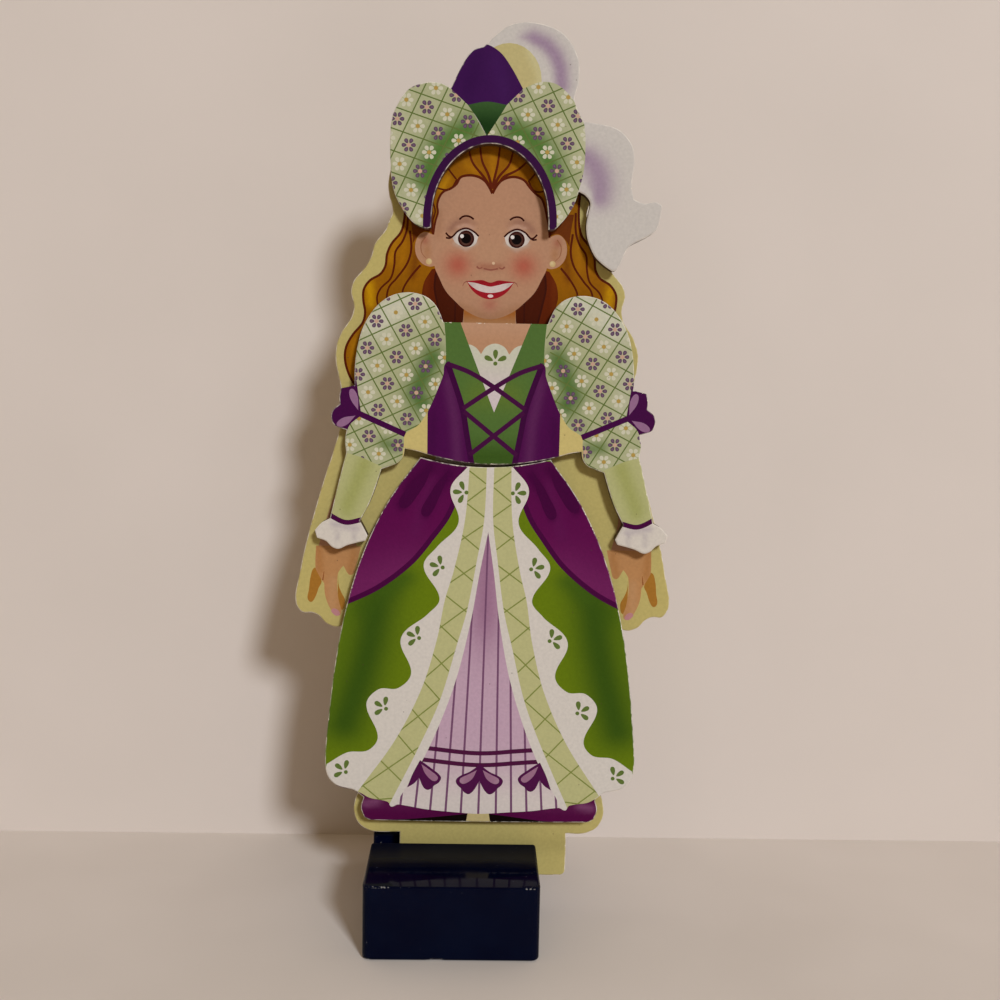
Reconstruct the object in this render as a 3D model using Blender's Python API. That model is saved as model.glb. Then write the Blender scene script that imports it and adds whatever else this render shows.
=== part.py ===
"""Magnetic dress-up doll: a printed wooden figure that stands in a slotted block, with a hat, a dress
top and a skirt that hold on by magnets.

Metres, +Z up. The front faces -Y and the origin is under the middle of the stand. Outlines are drawn in
the plane of the boards, as points across (x) and up (z) from the middle of the figure's base line.
"""

import math

import bmesh
import bpy
from mathutils import Vector
from mathutils.geometry import interpolate_bezier

MM = 0.001

# Stand
STAND_WIDTH = 45.4 * MM
STAND_DEPTH = 63.0 * MM
STAND_HEIGHT = 20.0 * MM
STAND_CORNER_RADIUS = 2.0 * MM # on the four upright corners
STAND_EDGE_RADIUS = 0.8 * MM   # on every other edge
ROUND_SEGMENTS = 4             # flats in a rounded edge
SLOT_DEPTH = 9.4 * MM
SLOT_CLEARANCE = 0.3 * MM      # on each side of the tab
SEAT_GAP = 0.3 * MM            # under the tab

# Boards and their printed faces
DOLL_BOARD_THICK = 5.3 * MM
CLOTHES_BOARD_THICK = 3.3 * MM
PRINT_THICK = 0.4 * MM
GLUE_LINE = 0.3 * MM           # between a board and its print
LAY_GAP = 0.3 * MM             # between the figure and the clothes that lie on it
OUTLINE_STEP = 2.2 * MM        # spacing of the points along a curved edge
OUTLINE_UNIT = 1.0 * MM        # what the points of a drawn outline are counted in

# Figure
TAB_WIDTH = 46.0 * MM
TAB_CORNER = 1.6 * MM
TAB_SHOWING = 2.9 * MM        # height of tab left in sight above the stand
TAB_OFFSET = 1.2 * MM          # middle of the tab to the right of the figure's middle
FIGURE_SHIFT = 6.9 * MM        # how far along the slot the figure stands
CROWN_HEIGHT = 10.5 * MM       # top of the head above the hat's arch

# Skirt
HEM_LEVEL = 4.9 * MM           # sole of the printed shoes above the base line
SKIRT_LENGTH = 96.95 * MM      # sole to waist at the middle
SKIRT_WIDTH = 84.0 * MM
SKIRT_WIDEST = 17.2 * MM       # height above the sole where the skirt is widest
SKIRT_FLARE = 2.6              # how soon the skirt opens below the waist; near 0 is a straight side
SHOE_SPREAD = 64.4 * MM        # from toe to toe

# Waist seam, shared by the top and the skirt
WAIST_WIDTH = 34.4 * MM
WAIST_RISE = 2.35 * MM         # how much higher the seam is at the sides
WAIST_GAP = 0.8 * MM

# Dress top
BODICE_HEIGHT = 37.05 * MM     # waist to neckline at the middle
NECKLINE_WIDTH = 27.4 * MM
TOP_SHIFT = 2.0 * MM           # how far to the right of the figure's middle the top is put on

# Hat
ARCH_LEVEL = 26.3 * MM         # springing of the arch above the neckline
ARCH_WIDTH = 30.5 * MM
ARCH_RISE = 19.5 * MM
ARCH_FOOT = 2.0 * MM           # straight part of the arch below its springing

# Magnets in the clothes and steel keepers in the figure
MAGNET_DIAMETER = 8.0 * MM
MAGNET_THICK = 2.0 * MM
KEEPER_DIAMETER = 10.0 * MM
KEEPER_THICK = 2.0 * MM
POCKET_CLEARANCE = 0.3 * MM
DISC_SIDES = 24
HAT_MAGNET_SPACING = 26.0 * MM
HAT_MAGNET_RISE = 1.5 * MM     # above the top of the arch
TOP_MAGNET_SPACING = 18.0 * MM
TOP_MAGNET_RISE = 19.0 * MM    # above the waist
SKIRT_MAGNET_SPACING = 22.0 * MM
SKIRT_MAGNET_DROP = 16.0 * MM  # below the waist

# Levels above the figure's base line, stacked from the soles up
WAIST = HEM_LEVEL + SKIRT_LENGTH + WAIST_GAP
NECKLINE = WAIST + BODICE_HEIGHT
ARCH_SPRING = NECKLINE + ARCH_LEVEL
ARCH_TOP = ARCH_SPRING + ARCH_RISE
CROWN = ARCH_TOP + CROWN_HEIGHT

# Layers from back to front: the figure's middle plane is the middle of the slot
DOLL_THICK = DOLL_BOARD_THICK + GLUE_LINE + PRINT_THICK
DOLL_BACK = DOLL_THICK / 2
DOLL_FRONT = -DOLL_THICK / 2
CLOTHES_BACK = DOLL_FRONT - LAY_GAP
TAB_BOTTOM = STAND_HEIGHT - SLOT_DEPTH + SEAT_GAP
BASE_LINE = STAND_HEIGHT + TAB_SHOWING

CORNER = "corner"


# Outlines

def at(across, up, points):
    """Drawn points, counted from a place on the figure."""
    return [(across + x * OUTLINE_UNIT, up + z * OUTLINE_UNIT, *kind) for x, z, *kind in points]


def mirrored(points):
    """The same points on the other side, in the opposite order."""
    return [(-x, z, *kind) for x, z, *kind in reversed(points)]


def handle(before, point, after, towards):
    """Curve handle on the side of the neighbour towards; a corner's handle points straight at it."""
    here = Vector(point[:2])
    reach = (Vector(towards[:2]) - here).length / 3
    if CORNER in point:
        return here + (Vector(towards[:2]) - here).normalized() * reach
    along = (Vector(after[:2]) - Vector(before[:2])).normalized()
    return here + along * (reach if towards is after else -reach)


def outline(points):
    """Closed outline: smooth through plain points, sharp at those marked as corners."""
    count = len(points)
    loop = []
    for i, start in enumerate(points):
        end = points[(i + 1) % count]
        before = points[i - 1]
        beyond = points[(i + 2) % count]
        straight = CORNER in start and CORNER in end
        length = (Vector(end[:2]) - Vector(start[:2])).length
        steps = 1 if straight else max(1, round(length / OUTLINE_STEP))
        leave = handle(before, start, end, end)
        arrive = handle(start, end, beyond, start)
        run = interpolate_bezier(Vector(start[:2]), leave, arrive, Vector(end[:2]), steps + 1)
        loop += [point.to_2d() for point in run[:-1]]
    return loop


def waist_seam(drop):
    """The seam's dip from right to left, lowered by drop."""
    half = WAIST_WIDTH / 2
    steps = round(WAIST_WIDTH / OUTLINE_STEP)
    seam = []
    for i in range(steps + 1):
        across = half - WAIST_WIDTH * i / steps
        up = WAIST - drop + WAIST_RISE * (across / half) ** 2
        seam.append((across, up, CORNER))
    return seam


def skirt_outline():
    waist_half = WAIST_WIDTH / 2
    flare = SKIRT_WIDTH / 2 - waist_half
    top = WAIST - WAIST_GAP + WAIST_RISE
    widest = HEM_LEVEL + SKIRT_WIDEST
    side = []
    for eighth in range(1, 9):
        down = eighth / 8
        opened = math.expm1(-SKIRT_FLARE * down) / math.expm1(-SKIRT_FLARE)
        across = waist_half + flare * opened
        side.append((across, top + (widest - top) * down))
    hem = at(SKIRT_WIDTH / 2, widest, [(-0.8, -5.1), (-3.8, -7.9), (-7.6, -8.7)])
    shoe = at(SHOE_SPREAD / 2, HEM_LEVEL, [(-0.7, 6.4, CORNER), (0, 3.5), (-0.9, 0.8), (-2.8, 0, CORNER)])
    half = side + hem + shoe
    return outline(half + mirrored(half) + waist_seam(WAIST_GAP)[::-1])


def top_outline():
    puff = at(NECKLINE_WIDTH / 2, NECKLINE, [
        (0, 0, CORNER), (1.8, 4.0), (4.6, 6.5), (8.8, 7.5), (13.3, 6.7), (17.3, 3.9), (20.8, -1.5),
        (22.5, -7.7), (23.0, -13.0), (23.0, -16.9, CORNER)])
    bow = at(NECKLINE_WIDTH / 2, NECKLINE, [
        (26.5, -17.7, CORNER), (27.0, -19.9), (26.8, -21.8, CORNER), (28.6, -23.4), (29.1, -25.4),
        (28.3, -27.3), (26.6, -28.1), (25.0, -28.6, CORNER)])
    forearm = at(WAIST_WIDTH / 2, WAIST, [
        (21.9, 5.8), (21.6, 2.4, CORNER), (23.7, -6.1), (25.8, -15.1, CORNER)])
    cuff = at(WAIST_WIDTH / 2, WAIST, [
        (28.0, -16.3), (29.8, -18.3), (29.2, -20.3), (26.8, -21.2), (25.2, -22.7), (23.5, -23.2),
        (21.2, -22.2), (18.8, -21.5), (16.4, -20.9), (15.8, -19.6), (16.7, -17.8), (17.9, -15.6, CORNER)])
    inside = at(WAIST_WIDTH / 2, WAIST, [
        (15.2, -10.3), (13.2, -4.6), (12.3, -1.7, CORNER), (9.8, -0.8), (7.7, 0.2), (6.5, 1.9),
        (6.2, 3.8, CORNER), (3.3, 3.3)])
    half = puff + bow + forearm + cuff + inside
    return outline(half + waist_seam(0) + mirrored(half))


def hat_outline():
    half = ARCH_WIDTH / 2
    foot = ARCH_SPRING - ARCH_FOOT
    right_lobe = at(half, foot, [(7.6, 9.9, CORNER), (6.4, 6.3), (4.7, 3.5), (1.4, 0)])
    arch = []
    for degrees in range(0, 181, 18):
        turn = math.radians(degrees)
        arch.append((half * math.cos(turn), ARCH_SPRING + ARCH_RISE * math.sin(turn)))
    left_lobe = at(-half, foot, [(-1.4, -0.3), (-4.0, 0.7), (-6.9, 3.7), (-9.8, 9.4), (-10.8, 18.8)])
    left_crown = at(-half, ARCH_TOP, [
        (-10.6, 4.3), (-9.7, 7.8), (-6.2, 13.1), (-0.6, 15.0), (2.2, 14.7), (4.6, 13.6, CORNER)])
    cap = at(0, ARCH_TOP, [(-7.7, 19.5), (-5.6, 22.8), (-2.1, 24.3, CORNER)])
    plume = at(0, ARCH_TOP, [
        (0.2, 26.6), (4.6, 29.7), (11.3, 30.2), (17.9, 27.7), (21.7, 22.1), (22.2, 17.0),
        (21.2, 11.2, CORNER)])
    curl = at(half, ARCH_TOP, [
        (8.3, 6.0, CORNER), (13.8, 5.3), (17.5, 4.2), (21.1, 0.4), (21.8, -3.8), (21.3, -10.3), (22.0, -13.3),
        (24.5, -14.3), (27.8, -13.9), (29.4, -14.7, CORNER), (29.0, -18.0), (28.0, -21.1), (24.0, -23.7),
        (21.0, -25.5), (19.2, -29.2), (18.1, -31.3), (16.9, -31.8, CORNER), (12.7, -28.6), (10.2, -23.5),
        (9.9, -19.2), (10.7, -14.4), (9.4, -12.6)])
    springing = [(half, foot, CORNER)] + arch + [(-half, foot, CORNER)]
    return outline(right_lobe + springing + left_lobe + left_crown + cap + plume + curl)


def doll_outline():
    head = at(ARCH_WIDTH / 2, CROWN, [(-6.2, -0.9), (2.3, -3.7), (8.4, -9.7), (11.0, -17.5), (11.4, -22.0)])
    nape = at(ARCH_WIDTH / 2, ARCH_SPRING, [(10.2, 2.6, CORNER)])
    hair = at(NECKLINE_WIDTH / 2, NECKLINE, [
        (13.6, 23.9), (16.2, 20.5), (17.3, 16.9), (18.9, 13.9), (21.7, 10.7), (22.5, 7.3), (21.7, 4.1),
        (22.5, 0.7), (24.8, -2.7), (26.3, -6.7), (26.4, -11.2), (25.3, -16.1), (24.5, -24.0)])
    arm = at(WAIST_WIDTH / 2, WAIST, [(22.9, 4.4), (25.7, -4.4), (28.5, -14.1), (31.2, -24.6)])
    hand = at(WAIST_WIDTH / 2, WAIST, [
        (32.5, -31.4), (33.5, -36.1), (33.1, -39.6), (31.6, -41.3), (29.0, -41.4), (27.0, -42.3),
        (25.2, -44.2), (22.6, -45.2), (20.0, -44.6), (17.0, -42.2), (13.6, -40.4), (11.4, -43.5)])
    leg = at(WAIST_WIDTH / 2, WAIST, [(9.9, -52.0), (8.0, -64.0)])
    foot = at(SHOE_SPREAD / 2, 0, [
        (-8.2, 27.0), (-7.6, 20.0), (-5.2, 15.2), (-1.2, 13.2), (1.5, 10.6), (2.3, 6.1), (1.5, 3.1),
        (-0.4, 1.1), (-3.4, 0, CORNER)])
    half = head + nape + hair + arm + hand + leg + foot
    right_tab = tab_side(TAB_WIDTH / 2 + TAB_OFFSET)
    left_tab = mirrored(tab_side(TAB_WIDTH / 2 - TAB_OFFSET))
    return outline([(0, CROWN)] + half + right_tab + left_tab + mirrored(half))


def tab_side(edge):
    """One side of the tab, down to its rounded bottom corner."""
    bottom = TAB_BOTTOM - BASE_LINE
    cut = TAB_CORNER * (1 - math.sqrt(0.5))
    return [
        (edge, 0, CORNER),
        (edge, bottom + TAB_CORNER, CORNER),
        (edge - cut, bottom + cut),
        (edge - TAB_CORNER, bottom, CORNER),
    ]


# Solids

def clear_scene():
    for old in list(bpy.data.objects):
        bpy.data.objects.remove(old, do_unlink=True)


def finish(name, color, roughness, metallic=0.0):
    """A Principled material with one plain colour."""
    material = bpy.data.materials.new(name)
    material.use_nodes = True
    shader = material.node_tree.nodes["Principled BSDF"]
    shader.inputs["Base Color"].default_value = (*color, 1.0)
    shader.inputs["Roughness"].default_value = roughness
    shader.inputs["Metallic"].default_value = metallic
    return material


def add_object(name, mesh_builder, material, parent=None):
    """An object from a bmesh, shaded smooth on its round sides and placed by its parent empty."""
    mesh = bpy.data.meshes.new(name)
    mesh_builder.normal_update()
    bmesh.ops.recalc_face_normals(mesh_builder, faces=mesh_builder.faces)
    mesh_builder.to_mesh(mesh)
    mesh_builder.free()
    mesh.materials.append(material)
    mesh.shade_smooth()
    mesh.set_sharp_from_angle(angle=math.radians(35))
    piece = bpy.data.objects.new(name, mesh)
    bpy.context.collection.objects.link(piece)
    piece.parent = parent
    return piece


def add_empty(name, place, parent=None):
    """The carrier that a moving piece hangs on; place is given from its parent."""
    carrier = bpy.data.objects.new(name, None)
    bpy.context.collection.objects.link(carrier)
    carrier.location = place
    carrier.parent = parent
    return carrier


def ring(builder, points, depth):
    """Verts of a closed outline at a depth, and the edges that join them."""
    verts = [builder.verts.new((point.x, depth, point.y)) for point in points]
    edges = [builder.edges.new((vert, verts[i - 1])) for i, vert in enumerate(verts)]
    return verts, edges


def wall(builder, first, second):
    """Faces between two rings of as many points."""
    for i, vert in enumerate(first):
        builder.faces.new((first[i - 1], vert, second[i], second[i - 1]))


def circle(place, radius):
    middle = Vector(place)
    turns = [math.tau * i / DISC_SIDES for i in range(DISC_SIDES)]
    return [middle + radius * Vector((math.cos(turn), math.sin(turn))) for turn in turns]


def slab(loop, plain_face, open_face, pockets=(), diameter=0.0, thick=0.0):
    """A board cut to an outline. Each pocket is sunk into its open face to take a disc with clearance."""
    builder = bmesh.new()
    plain, _ = ring(builder, loop, plain_face)
    rim, edges = ring(builder, loop, open_face)
    builder.faces.new(plain)
    wall(builder, plain, rim)
    floor_level = open_face + math.copysign(thick + POCKET_CLEARANCE, plain_face - open_face)
    for place in pockets:
        hole = circle(place, diameter / 2 + POCKET_CLEARANCE)
        mouth, mouth_edges = ring(builder, hole, open_face)
        floor, _ = ring(builder, hole, floor_level)
        wall(builder, mouth, floor)
        builder.faces.new(floor)
        edges += mouth_edges
    bmesh.ops.triangle_fill(builder, edges=edges, use_beauty=True)
    return builder


def disc(diameter, thick, middle):
    """A flat round disc that faces the front."""
    builder = bmesh.new()
    radius = diameter / 2
    bmesh.ops.create_cone(
        builder, cap_ends=True, segments=DISC_SIDES, radius1=radius, radius2=radius, depth=thick)
    for vert in builder.verts:
        vert.co = Vector((vert.co.x, -vert.co.z, vert.co.y)) + middle
    return builder


def disc_places(spacing, level):
    return {"left": (-spacing / 2, level), "right": (spacing / 2, level)}


def round_off(builder, edges, radius):
    """Rounds edges with a bevel of that radius."""
    bmesh.ops.bevel(
        builder, geom=edges, offset=radius, offset_type="OFFSET", segments=ROUND_SEGMENTS, profile=0.5,
        affect="EDGES", clamp_overlap=True)
    builder.normal_update()


def make_stand():
    """A block with a slot from side to side across its top; its upright corners are its roundest edges."""
    half_width = STAND_WIDTH / 2
    half_depth = STAND_DEPTH / 2
    half_slot = DOLL_THICK / 2 + SLOT_CLEARANCE
    floor = STAND_HEIGHT - SLOT_DEPTH
    profile = [
        (-half_depth, 0), (half_depth, 0), (half_depth, STAND_HEIGHT), (half_slot, STAND_HEIGHT),
        (half_slot, floor), (-half_slot, floor), (-half_slot, STAND_HEIGHT), (-half_depth, STAND_HEIGHT)]
    builder = bmesh.new()
    end = builder.faces.new([builder.verts.new((-half_width, y, z)) for y, z in profile])
    grown = bmesh.ops.extrude_face_region(builder, geom=[end])
    far = [item for item in grown["geom"] if isinstance(item, bmesh.types.BMVert)]
    bmesh.ops.translate(builder, verts=far, vec=(STAND_WIDTH, 0, 0))
    bmesh.ops.recalc_face_normals(builder, faces=builder.faces)
    corners = []
    for edge in builder.edges:
        first, last = (vert.co for vert in edge.verts)
        upright = abs(last.z - first.z) > abs(last.y - first.y) + abs(last.x - first.x)
        if upright and abs(first.y) > (half_slot + half_depth) / 2:
            corners.append(edge)
    round_off(builder, corners, STAND_CORNER_RADIUS)
    square = math.radians(60)
    outside = [edge for edge in builder.edges if edge.is_convex and edge.calc_face_angle() > square]
    round_off(builder, outside, STAND_EDGE_RADIUS)
    return add_object("stand_block", builder, finish("navy_enamel", (0.012, 0.016, 0.075), 0.25))


def make_doll():
    """The figure's board with its print, and a steel keeper behind each magnet of the clothes."""
    carrier = add_empty("doll_carrier", (FIGURE_SHIFT, 0, BASE_LINE))
    loop = doll_outline()
    front = DOLL_BACK - DOLL_BOARD_THICK
    keepers = {
        f"doll_keeper_{garment}_{side}": place
        for garment, places in MAGNET_PLACES.items()
        for side, place in places.items()
    }
    board = slab(loop, DOLL_BACK, front, keepers.values(), KEEPER_DIAMETER, KEEPER_THICK)
    add_object("doll_board", board, WOOD, carrier)
    add_object("doll_print", slab(loop, front - GLUE_LINE, DOLL_FRONT), PALE_PRINT, carrier)
    for name, place in keepers.items():
        middle = Vector((place[0], front + KEEPER_THICK / 2, place[1]))
        add_object(name, disc(KEEPER_DIAMETER, KEEPER_THICK, middle), STEEL, carrier)
    return carrier


def make_garment(garment, loop, print_finish, doll, shift=0.0):
    """One piece of clothing: a board with its print, and two magnets let into its back."""
    places = MAGNET_PLACES[garment]
    height = places["left"][1]
    carrier = add_empty(garment + "_carrier", (shift, CLOTHES_BACK, height), doll)
    local = [point - Vector((0, height)) for point in loop]
    pockets = [(across, 0) for across, _ in places.values()]
    board = slab(local, -CLOTHES_BOARD_THICK, 0, pockets, MAGNET_DIAMETER, MAGNET_THICK)
    add_object(garment + "_board", board, WOOD, carrier)
    print_back = -CLOTHES_BOARD_THICK - GLUE_LINE
    add_object(garment + "_print", slab(local, print_back, print_back - PRINT_THICK), print_finish, carrier)
    for side, (across, _) in places.items():
        middle = Vector((across, -MAGNET_THICK / 2, 0))
        add_object(f"{garment}_magnet_{side}", disc(MAGNET_DIAMETER, MAGNET_THICK, middle), NICKEL, carrier)


clear_scene()

WOOD = finish("cream_painted_wood", (0.72, 0.66, 0.42), 0.55)
PALE_PRINT = finish("pale_yellow_print", (0.78, 0.70, 0.36), 0.35)
HAT_PRINT = finish("green_sprig_print", (0.45, 0.58, 0.30), 0.35)
TOP_PRINT = finish("purple_bodice_print", (0.16, 0.02, 0.18), 0.35)
SKIRT_PRINT = finish("green_skirt_print", (0.10, 0.28, 0.03), 0.35)
STEEL = finish("zinc_plated_steel", (0.55, 0.56, 0.58), 0.35, 1.0)
NICKEL = finish("nickel_plated_magnet", (0.70, 0.68, 0.64), 0.2, 1.0)

MAGNET_PLACES = {
    "hat": disc_places(HAT_MAGNET_SPACING, ARCH_TOP + HAT_MAGNET_RISE),
    "top": disc_places(TOP_MAGNET_SPACING, WAIST + TOP_MAGNET_RISE),
    "skirt": disc_places(SKIRT_MAGNET_SPACING, WAIST - SKIRT_MAGNET_DROP),
}

make_stand()
doll_carrier = make_doll()
make_garment("hat", hat_outline(), HAT_PRINT, doll_carrier)
make_garment("top", top_outline(), TOP_PRINT, doll_carrier, TOP_SHIFT)
make_garment("skirt", skirt_outline(), SKIRT_PRINT, doll_carrier)
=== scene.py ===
"""Looks of the magnetic dress-up doll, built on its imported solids.

Each printed face is drawn as a pile of inked shapes in the plane of its board, in millimetres across (x)
from the middle of the figure and up (h) from its base line, and pressed into one flat sheet of faces.
"""

import math

import bmesh
import bpy
from mathutils import Matrix, Vector, noise
from mathutils.geometry import delaunay_2d_cdt, interpolate_bezier, intersect_point_line
from mathutils.kdtree import KDTree


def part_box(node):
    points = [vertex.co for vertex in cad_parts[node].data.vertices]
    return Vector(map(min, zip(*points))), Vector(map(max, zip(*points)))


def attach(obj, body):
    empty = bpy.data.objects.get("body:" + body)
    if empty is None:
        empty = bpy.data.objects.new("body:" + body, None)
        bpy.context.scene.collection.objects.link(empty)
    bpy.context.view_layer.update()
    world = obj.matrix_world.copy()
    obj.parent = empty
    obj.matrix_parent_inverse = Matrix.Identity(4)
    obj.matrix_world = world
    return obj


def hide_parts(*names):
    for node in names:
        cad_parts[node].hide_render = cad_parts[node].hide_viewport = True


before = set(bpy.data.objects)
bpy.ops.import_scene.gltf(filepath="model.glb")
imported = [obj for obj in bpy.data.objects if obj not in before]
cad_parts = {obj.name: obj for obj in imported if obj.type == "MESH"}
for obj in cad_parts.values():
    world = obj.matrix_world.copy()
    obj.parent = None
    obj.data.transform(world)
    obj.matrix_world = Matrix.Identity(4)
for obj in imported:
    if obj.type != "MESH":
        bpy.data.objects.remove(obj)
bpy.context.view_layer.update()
scene = bpy.context.scene

MM = 0.001                   # one millimetre in metres
CORNER = "corner"            # marks a point where a drawn line turns sharply

# The drawing plane
CROWN = 196.0                # top of the figure's head above its base line
TOP_SHIFT = 2.0              # the dress top's middle, right of the figure's
CURVE_STEP = 0.45            # spacing of points along a drawn curve
GRID_STEP = 1.1              # spacing of the points that carry soft shading
FINE_GRID_STEP = 0.55        # the same on the face
SAME_PLACE = 1e-5            # drawn points closer than this are one
RIM = 0.3                    # width of the pressed-down rim of a print
RIM_DROP = 0.2
CORNER_TURN = math.radians(48)
SHARPEST_MITRE = 0.5         # keeps a moved loop from shooting out at sharp corners
SAG_FROM = 8.0               # right of here a sagging print drops
WASH_FALL = 1.4              # how fast a soft brush stroke fades with distance

# Meshes
WELD = 0.001                 # corners closer than this are joined
SAME_DEPTH = 0.01            # corners that differ less in depth lie on one face
PRINT_CREASE = math.radians(22)
BOARD_CREASE = math.radians(30)

doll_low, doll_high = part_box("doll_print")
FIGURE_MIDDLE = (doll_low.x + doll_high.x) / 2
TOP_MIDDLE = FIGURE_MIDDLE + TOP_SHIFT * MM
BASE_LINE = doll_high.z - CROWN * MM

# Boards
BACK_CHAMFER = 0.35
POCKET_SIDES = 48
POCKET_SLACK = 0.3
MAGNET_CHAMFER = 0.25

# Worn rims; along the dress top's neckline the flakes are also a painted highlight
CHIP_PATCH = 6.0             # how far apart the worn stretches of a rim lie
CHIP_SHARE = 0.35            # wear of a middling stretch
CHIP_CONTRAST = 2.4          # how much the stretches differ
CHIP_LEAST = 0.06            # wear that every stretch has
CHIP_SPACING = 0.35
FLAKE_SIDES = 8
FLAKE_STRAY = 0.16           # how far a flake's corners stray, as a share of its size
FLAKE_LEAST = (0.2, 0.3, 1)  # least share of its full size, before it is squared

# Flowers
PETAL_SIDES = 12

# Finishes; wood fibres and rolling marks are drawn out upwards
SPECK_SPACING = 5.0
FIBRE_STRETCH = (1, 1, 0.12)
MARK_STRETCH = (1, 1, 0.05)

# Stand
SLOT_SLACK = 0.3
BLOCK_CORNER = 2.0           # radius of the upright corners
BLOCK_EDGE = 0.8             # radius of the other edges
BLOCK_EDGE_STEPS = 5
BLOCK_SLICE = 0.8
SQUARE = math.radians(60)    # edges sharper than this are rounded off
CHIP_DEPTH = 0.2
CHIP_REACH = 1.0             # how far a chip spreads from its edge
TOP_CROWN = 0.6              # how far the block's top rolls off towards its front and back
TOP_ROLL = 4                 # power of that roll-off
RUBBED_SHARE = 0.55          # how much of the top, from the slot outwards, is rubbed dull
# Chips along the block's edges, as (place across, front -1 or back 1, bottom -1 or top 1, half length)
BLOCK_CHIPS = [(-20.9, -1, 1, 1.1), (-17.2, -1, 1, 0.8), (20.0, -1, 1, 0.8), (-3.9, -1, -1, 1.2),
               (-21.6, -1, -1, 0.4), (8.5, 1, 1, 0.9), (-21.4, 1, 1, 0.6), (3.0, 1, -1, 0.6)]

# Inks
BORDER_YELLOW = "#B4A464"
PAPER = "#D2C7B4"
# Pale rim: rubbed paper, made lighter than the paper as a painted highlight of the edge
RUBBED_RIM_AND_HIGHLIGHT = "#DED4C5"
PAPER_EDGE = "#94887B"
SKIN = "#AC8063"
LINE_PURPLE = "#3F0B3D"
LAVENDER = "#8C6482"
PALE_GREEN = "#A5A57F"
WASH_GREEN = "#506C35"
LACE_WHITE = "#C9C0B5"
SPRIG_GREEN = "#5A6B31"


# Colour

def linear(hex_code):
    """Linear RGB of an sRGB hex value."""
    parts = [int(hex_code[i:i + 2], 16) / 255 for i in (1, 3, 5)]
    return Vector([part / 12.92 if part <= 0.04045 else ((part + 0.055) / 1.055) ** 2.4 for part in parts])


def gap(point, line):
    """Distance from a point to the nearest place on a line of straight stretches."""
    nearest = min((point - corner).length for corner in line)
    for start, end in zip(line, line[1:]):
        foot, share = intersect_point_line(point, start, end)
        if 0 < share < 1:
            nearest = min(nearest, (point - foot.to_2d()).length)
    return nearest


def dye(base, *washes):
    """An ink with soft brush strokes over it, each given as (points, reach across and up, hex, strength)."""
    ground = linear(base)
    soft = []
    for line, (wide, high), tone, strength in washes:
        squashed = [Vector((x / wide, h / high)) for x, h in line]
        soft.append((squashed, wide, high, linear(tone), strength))

    def tint(point):
        colour = ground
        for line, wide, high, tone, strength in soft:
            away = gap(Vector((point.x / wide, point.y / high)), line)
            colour = colour.lerp(tone, strength * math.exp(-WASH_FALL * away * away))
        return colour
    return tint


def as_ink(ink):
    """The ink itself, or an even ink from a hex value."""
    return dye(ink) if isinstance(ink, str) else ink


def graded(start, start_hex, end, end_hex):
    """An ink that runs evenly from one colour to another between two points."""
    first = linear(start_hex)
    last = linear(end_hex)
    origin = Vector(start)
    run = Vector(end) - origin

    def tint(point):
        share = (point - origin).dot(run) / run.length_squared
        return first.lerp(last, min(1.0, max(0.0, share)))
    return tint


def twinned(ink):
    """The right-hand side's ink, repeated as a mirror image on the left."""
    return lambda point: ink(Vector((abs(point.x), point.y)))


# Drawing

def handle(before, point, after, towards):
    """Curve handle on the side of the neighbour towards; a corner's handle points straight at it."""
    here = Vector(point[:2])
    reach = (Vector(towards[:2]) - here).length / 3
    if CORNER in point:
        return here + (Vector(towards[:2]) - here).normalized() * reach
    along = (Vector(after[:2]) - Vector(before[:2])).normalized()
    return here + along * (reach if towards is after else -reach)


def run_of(before, start, end, beyond):
    """Points of the smooth run from start up to, but not at, end."""
    length = (Vector(end[:2]) - Vector(start[:2])).length
    straight = CORNER in start and CORNER in end
    steps = 1 if straight else max(2, round(length / CURVE_STEP))
    leave = handle(before, start, end, end)
    arrive = handle(start, end, beyond, start)
    run = interpolate_bezier(Vector(start[:2]), leave, arrive, Vector(end[:2]), steps + 1)
    return [point.to_2d() for point in run[:-1]]


def shape(points):
    """Closed loop, smooth through plain points and sharp at corners."""
    count = len(points)
    loop = []
    for i in range(count):
        loop += run_of(points[i - 1], points[i], points[(i + 1) % count], points[(i + 2) % count])
    return loop


def balanced(points):
    """Closed loop from its right-hand points, with their mirror image on the left."""
    left = [(-point[0], *point[1:]) for point in reversed(points) if point[0] > 0]
    return shape(points + left)


def path(points):
    """Open line, smooth through plain points and sharp at corners."""
    last = len(points) - 1
    line = []
    for i in range(last):
        line += run_of(points[max(i - 1, 0)], points[i], points[i + 1], points[min(i + 2, last)])
    return line + [Vector(points[last][:2])]


def stroke(points, width, tip=None):
    """Outline of a pen line; tip is its width at the far end, where that differs."""
    line = path(points)
    far = width if tip is None else tip
    left = []
    right = []
    for i, point in enumerate(line):
        along = (line[min(i + 1, len(line) - 1)] - line[max(i - 1, 0)]).normalized()
        half = (width + (far - width) * i / (len(line) - 1)) / 2
        side = Vector((-along.y, along.x)) * half
        left.append(point + side)
        right.append(point - side)
    return left + right[::-1]


def ellipse(middle, wide, high, sides=28):
    """Closed ring of points round a middle."""
    ring = [math.tau * i / sides for i in range(sides)]
    return [Vector(middle) + Vector((wide * math.cos(a), high * math.sin(a))) for a in ring]


def leaf(base, tip, width, fullest=0.62):
    """A petal or leaf, pointed at its base and round at its tip."""
    start = Vector(base)
    along = Vector(tip) - start
    side = Vector((-along.y, along.x)).normalized() * width / 2
    belly = start + along * fullest
    return shape([(*start, CORNER), tuple(belly + side), tuple(start + along), tuple(belly - side)])


def mirrored(loop):
    """The loop's mirror image on the other side of the figure."""
    return [Vector((-point.x, point.y)) for point in reversed(loop)]


def divided(loop):
    """The same loop with points along its long straight edges, to carry the shading."""
    points = []
    for i, point in enumerate(loop):
        step = point - loop[i - 1]
        parts = max(1, round(step.length / GRID_STEP))
        points += [loop[i - 1] + step * part / parts for part in range(1, parts + 1)]
    return points


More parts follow.
